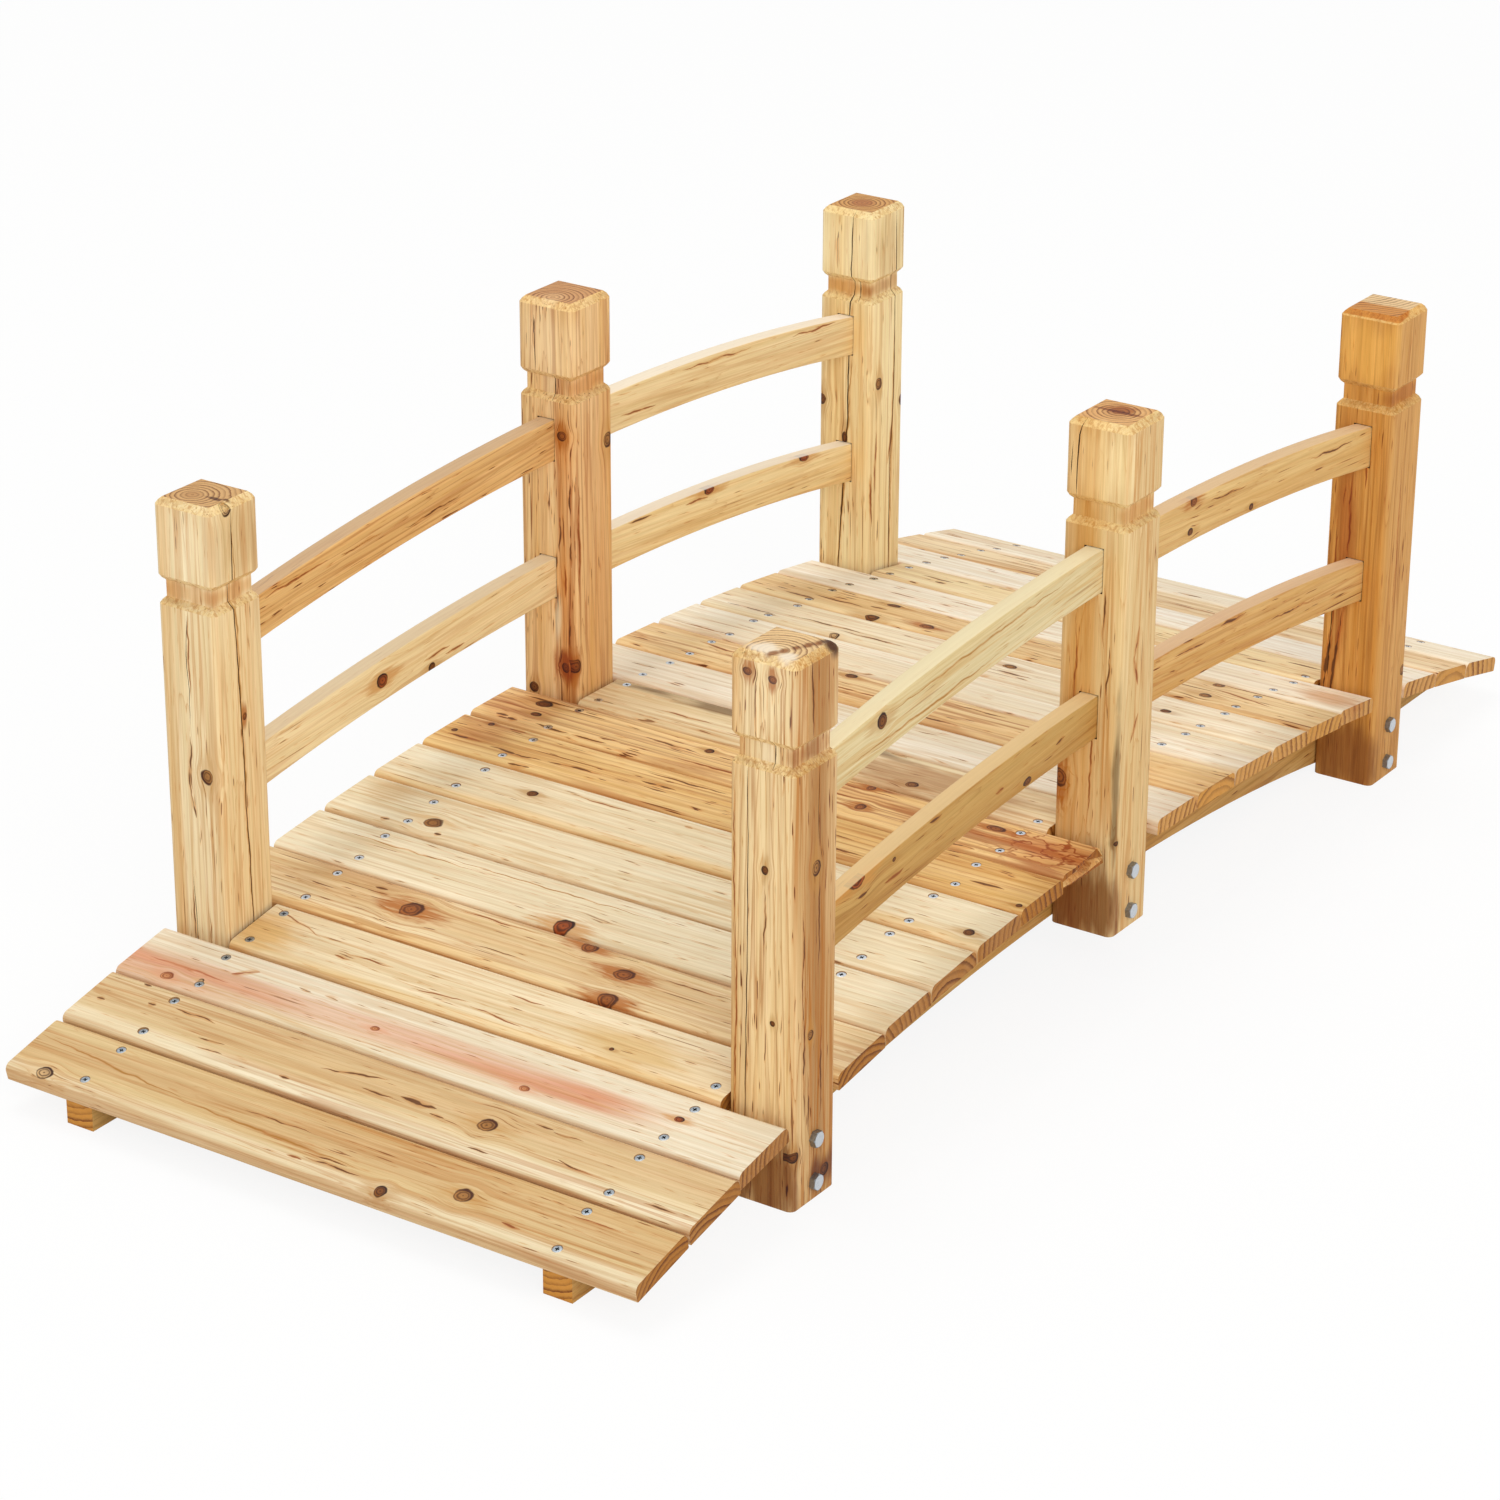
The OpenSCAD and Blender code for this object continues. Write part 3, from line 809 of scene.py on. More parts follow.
# Each plank's wood, its knots (across, along, radius, kind, stretch) and its streaks (across, along, length,
# width, colour, lean), put where the real planks have them
PLANK_LOOKS = {
    1: (GOLD._replace(pith=(0.012, -0.045), flecks=0.35, pale="#DFC490", warm="#D3AD74",
            bands=(Band(0.006, 0.017, BROWN, 0.45), Band(-0.031, 0.01, SAP, 0.65))),
        [(-28, 282, 6.5, "ring", 1.2), (-28, -70, 6, "dark", 0.9), (-4, -134, 7.5, "eye", 1.05)],
        [(3, 235, 170, 1.0, TAN, 0.098), (-10, 60, 200, 1.0, TAN, 0.03), (-20, -15, 60, 1.2),
         (-15, -5, 46), (-17, -190, 20, 1.6, SIENNA), (-24, 20, 16, 1.4, SIENNA), (6, 60, 70, 0.8),
         (14, -250, 50, 0.8, SIENNA)]),
    2: (GOLD._replace(pith=(-0.015, -0.05), pale="#E6D0A4", warm="#DABA86", flecks=0.3,
            bands=(Band(-0.027, 0.01, SAP, 0.85), Band(0.012, 0.017, BROWN, 0.35))),
        [(2, -99, 7.5, "eye", 1.1)],
        [(1, -31, 38, 3.2), (-6, -55, 16, 1.4), (9, 40, 64, 1.5, UMBER, -0.19),
         (14, 213, 46, 1.8, UMBER, 0.03), (-8, 178, 28, 1.2), (-19, 172, 28), (-3, 8, 32, 1.2),
         (21, -143, 20, 1.2), (19, -168, 30, 1.2), (-11, -195, 38, 1.2, UMBER, 0.1), (-23, -285, 32, 1.2),
         (-20, 91, 12, 1.8), (10, 258, 9, 2.2), (-2, 304, 9, 2.0), (30, 279, 9, 1.8),
         (-27, -112, 22, 1.2)]),
    3: (WHITE._replace(pith=SIDE_RIGHT, pale="#EFE4CC", warm="#E9D9B8", line=0.36,
            bands=(Band(-0.006, 0.015, PINK, 1.0, 0, -0.01, -0.205, 1.0),
                Band(-0.03, 0.009, PINK, 0.8, 0, 0.0, 0.2, 1.0))),
        [(-24, 272, 5, "blush", 1.2), (-18, -100, 3.6, "blush", 1.3), (4, -237, 3.4, "red", 1.3),
         (-6, 62, 3, "blush", 1.4), (-17, 240, 2.6, "ring")],
        [(9, 212, 22, 3.2, "#A8603A", -0.5), (-8, 260, 90, 1.2, "#B86A48"), (12, 150, 14, 1.2),
         (12, 122, 16, 1.2)]),
    4: (CREAM._replace(pith=(-0.01, -0.03), pale="#EFDDB8", warm="#E8CFA2", flecks=0.35,
            bands=(Band(-0.034, 0.008, YOLK, 0.5),),
            stains=(wash(-6, -150, 24, 70, "#EDD9AE", 0.7), wash(-10, 240, 30, 40, "#F0CE8A", 0.7))),
        [(-15, -134, 2.2, "dark")],
        [(17, 218, 66, 1.0, SIENNA, 0.3), (-9, 150, 18, 1.6, SIENNA), (-16, 40, 60, 1.0, SIENNA, -0.1),
         (-2, 130, 60, 0.9, SIENNA), (10, -30, 40, 0.9, SIENNA), (-20, -20, 60, 1.0, SIENNA, 0.1)]),
    5: (GOLD._replace(pith=FLAT, pale="#F2DEB4", warm="#E6C894",
            bands=(Band(-0.032, 0.008, YOLK, 0.5), Band(0.004, 0.018, BROWN, 0.3))),
        [(5, 142, 10, "rust", 1.05), (6, -81, 7.5, "rust", 1.3), (-30, -90, 7.5, "rust", 1.2),
         (27, -31, 7, "rust", 1.1)],
        [(21, 186, 14, 1.8), (24, 60, 90, 0.9, SIENNA), (-14, 30, 60, 0.8), (16, -150, 70, 0.9)]),
    6: (WHITE._replace(pith=SIDE_LEFT), [(-28, 8, 9, "red")],
        [(16, 60, 240, 0.8, TAN), (10, 200, 160, 0.8, TAN)]),
    7: (WHITE._replace(pith=(-0.012, -0.03), line=0.4, stains=(wash(14, 285, 24, 30, "#D6B88C", 0.5),)),
        [(-13, 214, 8, "cocoa", 1.1)], [(-27, 257, 10, 2.4), (-27, 198, 8, 2.4)]),
    8: (WHITE._replace(pith=SIDE_RIGHT, bands=(Band(-0.033, 0.009, YOLK, 0.55),)),
        [(2, 169, 5, "dark"), (-16, -300, 5, "dark")],
        [(18, 100, 60, 1.2, SIENNA), (20, 11, 10, 1.6, SIENNA)]),
    9: (HONEY._replace(stains=(wash(10, 285, 40, 34, "#C8935F", 0.5),), pith=SIDE_LEFT, line=0.65,
            pale="#EECB8C", warm="#E0B064"),
        [(-27, -313, 3, "dark"), (25, 286, 3, "dark"), (-2, 308, 3, "dark")],
        [(-13, 230, 60, 2.2), (-9, 165, 60, 2.2, UMBER, -0.06), (1, 80, 40, 2.2), (-30, 213, 24, 2.4),
         (18, 60, 90, 1.6), (2, -90, 80, 1.4), (-10, 290, 40, 2.2), (26, 256, 20, 2.0),
         (-9, -270, 36, 2.2), (-20, -120, 70, 1.4)]),
    10: (HONEY._replace(late="#9C4A08", pith=SIDE_RIGHT, line=0.72, pale="#F6D69C", warm="#EABE78",
            bands=(Band(0.005, 0.005, "#B8661E", 0.7, 0, 0.02, -1.0, -0.07),
                Band(0.004, 0.016, "#C87A30", 0.6, 0, 0.0, -1.0, -0.23)),
            burl=Burl((0.004, -0.285, 0.01), (0.05, 0.085, 0.05), 0.03, 66),
            stains=(wash(0, -300, 44, 60, "#E0B07A", 0.5), wash(0, 285, 50, 50, "#D8A56A", 0.5))),
        [(15, 271, 6, "dark", 1.5), (-7, 264, 4.5, "dark", 1.2), (12, 82, 4.5, "dark"),
         (15, -221, 5, "rust", 1.8), (-12, -97, 6, "rust", 0.8), (26, -84, 4.5, "rust", 0.9)],
        [(4, 115, 50, 1.8), (-25, 290, 14, 3.0), (-28, 276, 12, 3.0), (-25, 232, 40, 2.4),
         (-26, 190, 40, 2.0), (0, -30, 120, 1.6, SIENNA), (20, -60, 120, 1.4, SIENNA),
         (-30, -212, 30, 2.8), (22, 270, 60, 2.2), (-16, 60, 90, 1.4, SIENNA)]),
    11: (STRAW._replace(pith=SIDE_LEFT, pale="#EEDBB2", warm="#E4C896",
            stains=(Stain((0.026, 0.09, 0.01), (0.013, 0.19, 0.03), "#8C7A69", 0.85),
                wash(-4, -130, 38, 120, "#C6A68C", 0.8))), [(-20, -105, 5.5, "eye", 1.1)],
        [(-8, 150, 60, 1.6, SIENNA), (-16, 60, 80, 1.6, SIENNA), (29, -60, 20, 2.0)]),
    12: (WHITE._replace(pale="#F6ECD8", warm="#EEDFC2", pith=SIDE_RIGHT, flecks=0.4), [],
        [(0, 260, 30, 1.2)]),
    13: (HONEY._replace(pith=FLAT, pale="#F4D8A4", warm="#E8BE80"), [(24, 87, 5, "dark", 1.2)],
        [(10, 225, 60, 2.0, SIENNA, 0.1), (-8, 60, 110, 1.8, SIENNA), (-24, -40, 50, 2.0),
         (20, -60, 60, 1.6)]),
    14: (WHITE._replace(pale="#FAF0DA", warm="#F3E2C0", pith=SIDE_RIGHT, line=0.3), [],
        [(-26, 270, 60, 1.4, SIENNA)]),
    15: (WHITE._replace(pith=SIDE_LEFT, pale="#FAEED4", warm="#F2E0BA"),
        [(-31, 164, 5, "ring"), (3, -15, 5.5, "eye", 1.3), (-9, -192, 4.5, "dark", 1.2)],
        [(-8, 180, 80, 1.8), (-16, 130, 80, 1.6), (-18, 270, 60, 1.6), (-14, -30, 40, 2.0)]),
    16: (GOLD._replace(pith=SIDE_RIGHT, flecks=1.0, pale="#F0D6A4", warm="#E4BC80"),
        [(-29, 166, 6, "dark", 1.2), (-17, 110, 6, "rust", 1.3), (25, -193, 5.5, "eye"),
         (-14, -199, 6, "eye"), (20, 172, 4.5, "dark", 1.6)],
        [(-6, 220, 60, 2.0), (2, 178, 20, 2.6), (-18, 260, 40, 2.0), (16, 20, 60, 2.4),
         (-16, -60, 60, 1.8), (6, -230, 70, 1.8, SIENNA, 0.2)]),
    17: (WHITE._replace(pith=SIDE_LEFT, flecks=0.2, line=0.3, pale="#FBF2DE", warm="#F5E6C8",
            stains=(wash(-4, -290, 30, 40, "#DDB088", 0.7),)), [], [(8, 120, 40, 1.4, SIENNA)]),
    18: (STRAW._replace(pith=FLAT, flecks=0.7), [(-22, -237, 3, "dark")],
        [(2, 195, 40, 2.4), (-9, 185, 14, 3.0), (12, -220, 40, 2.4)]),
    19: (WHITE._replace(pith=SIDE_RIGHT, line=0.28, pale="#FCF4E4", warm="#F6E8CE"), [],
        [(-24, 20, 60, 1.2, SIENNA)]),
    20: (GOLD._replace(pith=FLAT, flecks=0.9, pale="#F2DAB0", warm="#E6C492"), [],
        [(0, 160, 90, 1.8, SIENNA), (-12, -40, 90, 1.8, SIENNA)]),
    21: (CREAM._replace(pith=SIDE_LEFT, flecks=0.4, line=0.36, pale="#FAEED6", warm="#F2E0BE"), [],
        [(-26, 0, 30, 2.6), (-10, 290, 40, 2.0, SIENNA)]),
}
# How far each plank lies off the middle along its own length, in millimetres, so that the ends are ragged
PLANK_SLIDE = {1: -3, 2: -3, 3: -1, 5: 1, 6: 2, 7: 3, 8: 3.5, 9: 4.5, 10: 5, 12: -5, 13: -5, 14: -4.5, 15: -4,
               16: -2.5, 19: 3, 20: 3, 21: 3.5}
TORN_PLANK = 10
# The screws of these planks take the zinc painted dark, as painted dark reflection.
SCREWS_PAINTED_DARK = (1, 2, 3, 4)


def tear_end(board, dice):
    """Breaks out one plank's right end, where the grain tore at the saw."""
    depth = 12 * MM
    end = -PLANK_LEN / 2
    tool = box((PLANK_W + 20 * MM, 2 * depth, PLANK_T + 20 * MM), (0, end - depth + 3 * MM, PLANK_T / 2))
    edit(tool)
    for across in range(-33, 36, 5):
        place = (across * MM + dice.uniform(-1.5, 1.5) * MM, 0, 0)
        slice_at(place, (1, dice.uniform(-0.3, 0.3), dice.uniform(-0.5, 0.5)))
    for up in (2, 6, 10, 13):
        slice_at((0, 0, up * MM), (dice.uniform(-0.1, 0.1), 0, 1))
    spots = [v.index for v in bmesh.from_edit_mesh(tool.data).verts if v.co.y > end + 2 * MM]
    for index in spots:
        pick(tool, "VERT", lambda v, index=index: v.index == index)
        bpy.ops.transform.translate(value=(0, dice.uniform(-3, 7) * MM, 0))
    leave()
    line(tool, board.data.materials[0])
    cut(board, tool)


def sink_screws(board, slide, dice):
    """Countersinks a board's four screw holes, and gives the places of the heads on it."""
    places = []
    for side in (-1, 1):
        for edge in (-1, 1):
            across = edge * SCREW_ACROSS + dice.uniform(-SCREW_STRAY, SCREW_STRAY)
            along = side * SCREW_ALONG - slide + dice.uniform(-SCREW_STRAY, SCREW_STRAY)
            cut(board, countersink((across, along, PLANK_T)))
            sunk = Matrix.Translation((across, along, PLANK_T - SCREW_SUNK))
            places.append(sunk @ Matrix.Rotation(dice.uniform(0, math.pi), 4, "Z"))
    return places


def make_deck():
    """The planks with their countersunk holes, and the screws that hold them to the stringers."""
    masters = {"bright": screw_master(ZINC), "painted_dark": screw_master(ZINC_PAINTED_DARK)}
    heads = {"bright": [], "painted_dark": []}
    for number in range(1, PLANKS + 1):
        name = f"plank_{number:02d}"
        dice = random.Random(700 + number)
        board = board_blank(SHORT_LEN if number in SHORT_PLANKS else PLANK_LEN, dice)
        spot, turn = plank_place(number)
        wood, knots, streaks = PLANK_LOOKS[number]
        # edges paints shade along each plank's rounded long edges, where the gaps between the planks lie in
        # shade.
        wood = wood._replace(ring=wood.ring * (1.2 + 0.06 * number), coarse=1.25 + 0.10 * number, edges=0.4,
                             end="#A2660E" if number < MIDDLE_PLANK else "#C68E3A")
        finish = pine(f"pine_{name}", spot, (0, turn, 0), wood, (0, 1, 0),
                      [plank_knot(*knot) for knot in knots], [plank_streak(*mark) for mark in streaks],
                      number * 0.37)
        paint(board, finish, COUNTERSUNK)
        kind = "painted_dark" if number in SCREWS_PAINTED_DARK else "bright"
        place = Matrix.Translation(spot) @ Matrix.Rotation(turn, 4, "Y")
        for hole in sink_screws(board, spot.y, dice):
            heads[kind].append(copy_of(masters[kind], place @ hole))
        if number == TORN_PLANK:
            tear_end(board, dice)
        board.location = spot
        board.rotation_euler = (0, turn, 0)
        settle(board)
        smooth(board)
        board.name = f"deck_board_{number:02d}"
        dress(board, "deck_wood", name)
    for kind, master in masters.items():
        bpy.data.objects.remove(master)
        screws = join(heads[kind], f"deck_screws_{kind}")
        smooth(screws)
        dress(screws, "zinc")


# Posts

POST_TURN_GRAIN = Matrix(((0, 0, 1), (1, 0, 0), (0, 1, 0))).to_euler()


def post_blank():
    """A square post with eased edges, a grooved neck and a chamfered cap; its foot's middle at the origin."""
    post = box((POST_W, POST_W, POST_LEN), (0, 0, POST_LEN / 2))
    edit(post)
    for height in (SHOULDER, NECK_FOOT, NECK_TOP, BLOCK_FOOT, BLOCK_TOP):
        slice_at((0, 0, height), (0, 0, 1))
    slim = 1 - GROOVE / POST_HALF
    pick(post, "VERT", lambda v: NECK_FOOT - MM < v.co.z < NECK_TOP + MM)
    bpy.ops.transform.resize(value=(slim, slim, 1))
    pick(post, "VERT", lambda v: v.co.z > POST_LEN - MM)
    bpy.ops.transform.resize(value=(1 - CAP_CHAMFER / POST_HALF,) * 2 + (1,))

    def upright(edge):
        a, b = (v.co for v in edge.verts)
        corner = min(abs(c) for c in (a.x, a.y, b.x, b.y)) > POST_HALF - 0.2 * MM
        return corner and abs(a.z - b.z) > 20 * MM
    pick(post, "EDGE", upright)
    bpy.ops.mesh.bevel(offset=POST_ROUND, segments=5, affect="EDGES")
    leave()
    return post


def rail_crown(level):
    middle_foot = ARCH_Z + ARCH_R - POST_BELOW
    return middle_foot + RAIL_TOP - (RAIL_DROP if level == "lower" else 0)


def post_spot(row, side):
    low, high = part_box(f"post_{row}_{side}")
    return Vector(((low[0] + high[0]) / 2, (low[1] + high[1]) / 2, low[2]))


# How far a bowed bar is spun past its ends before they are cut, in radians
OVERRUN = 0.004


def bowed_bar(crown, radius, height, thick, ease, x_from, x_to, y_mid, steps):
    """A bar sawn to a bow: its end section spun about the bow's centre, then cut plumb at both ends."""
    centre = (0, y_mid, crown - radius)
    fresh()
    bpy.ops.mesh.primitive_plane_add(size=1, location=(0, y_mid, crown - height / 2),
                                     rotation=(0, math.pi / 2, 0))
    bar = newest((height, thick, 1))
    edit(bar)
    pick_all()
    bpy.ops.mesh.bevel(offset=ease, segments=3, affect="VERTICES")
    inner = radius - height
    start = math.asin(x_from / (inner if x_from < 0 else radius)) - OVERRUN
    stop = math.asin(x_to / (inner if x_to > 0 else radius)) + OVERRUN
    pick_all()
    bpy.ops.transform.rotate(value=-start, orient_axis="Y", center_override=centre)
    pick_all()
    bpy.ops.mesh.spin(steps=steps, angle=-(stop - start), center=centre, axis=(0, 1, 0))
    slice_at((x_from, 0, 0), (1, 0, 0), keep_high=True)
    slice_at((x_to, 0, 0), (1, 0, 0), keep_low=True)
    pick_all()
    bpy.ops.mesh.remove_doubles(threshold=1e-6)
    bpy.ops.mesh.normals_make_consistent(inside=False)
    leave()
    return bar


def on_post(face, across, up):
    """A place on a post's near (x) or right (y) face, in millimetres from the face's middle and the foot."""
    along = up * MM - POST_LEN / 2
    if face == "x":
        return "-z", (-across * MM, along, -POST_HALF)
    return "-x", (-POST_HALF, along, across * MM)


def post_knot(face, across, up, size, kind="eye", stretch=1.3):
    return Knot(*on_post(face, across, up), size * MM, kind, stretch, 9 * MM)


def post_streak(face, across, up, *look):
    return streak(*on_post(face, across, up), 5 * MM, *look)


# Drying checks: face, width and depth in millimetres, then its path as across and up
Check = namedtuple("Check", "face width depth path")
# Painted shade: the near face of a post's foot below the deck is darker brown, mostly for the shade there and
# partly darker wood.
SHADE_BELOW_DECK = Stain((0.0, -0.212, -0.031), (0.06, 0.055, 0.02), "#93682F", 0.9)
# Painted shade where the block overhangs the neck: on the neck's right face, deeper on some posts, and on its
# near face.
NECK_SIDE_SHADE = Stain((-0.026, 0.155, 0.0), (0.012, 0.010, 0.06), "#DDB078", 0.55)
DEEP_NECK_SHADE = NECK_SIDE_SHADE._replace(hue="#B88038")
NECK_FRONT_SHADE = Stain((0.0, 0.155, -0.026), (0.06, 0.010, 0.012), "#DDB078", 0.8)
BLOCK_SIDE = Stain((-0.031, 0.200, 0.0), (0.016, 0.042, 0.05), "#EFEAE4", 1.0)


def pale_block(hue):
    """The near face of a post's block, made paler than the shaft by a tone added to its colour."""
    return Stain((0.0, 0.200, -0.031), (0.05, 0.042, 0.016), hue, 1.0, "ADD")


def flow(across, through, half_across, half_through, hue, soft=0.4):
    """A brown patch on a post's top, as millimetres to the left and to the far side."""
    reach = (half_across * MM, 0.006, half_through * MM)
    return Stain((across * MM, 0.2365, through * MM), reach, hue, 0.9, soft=soft)


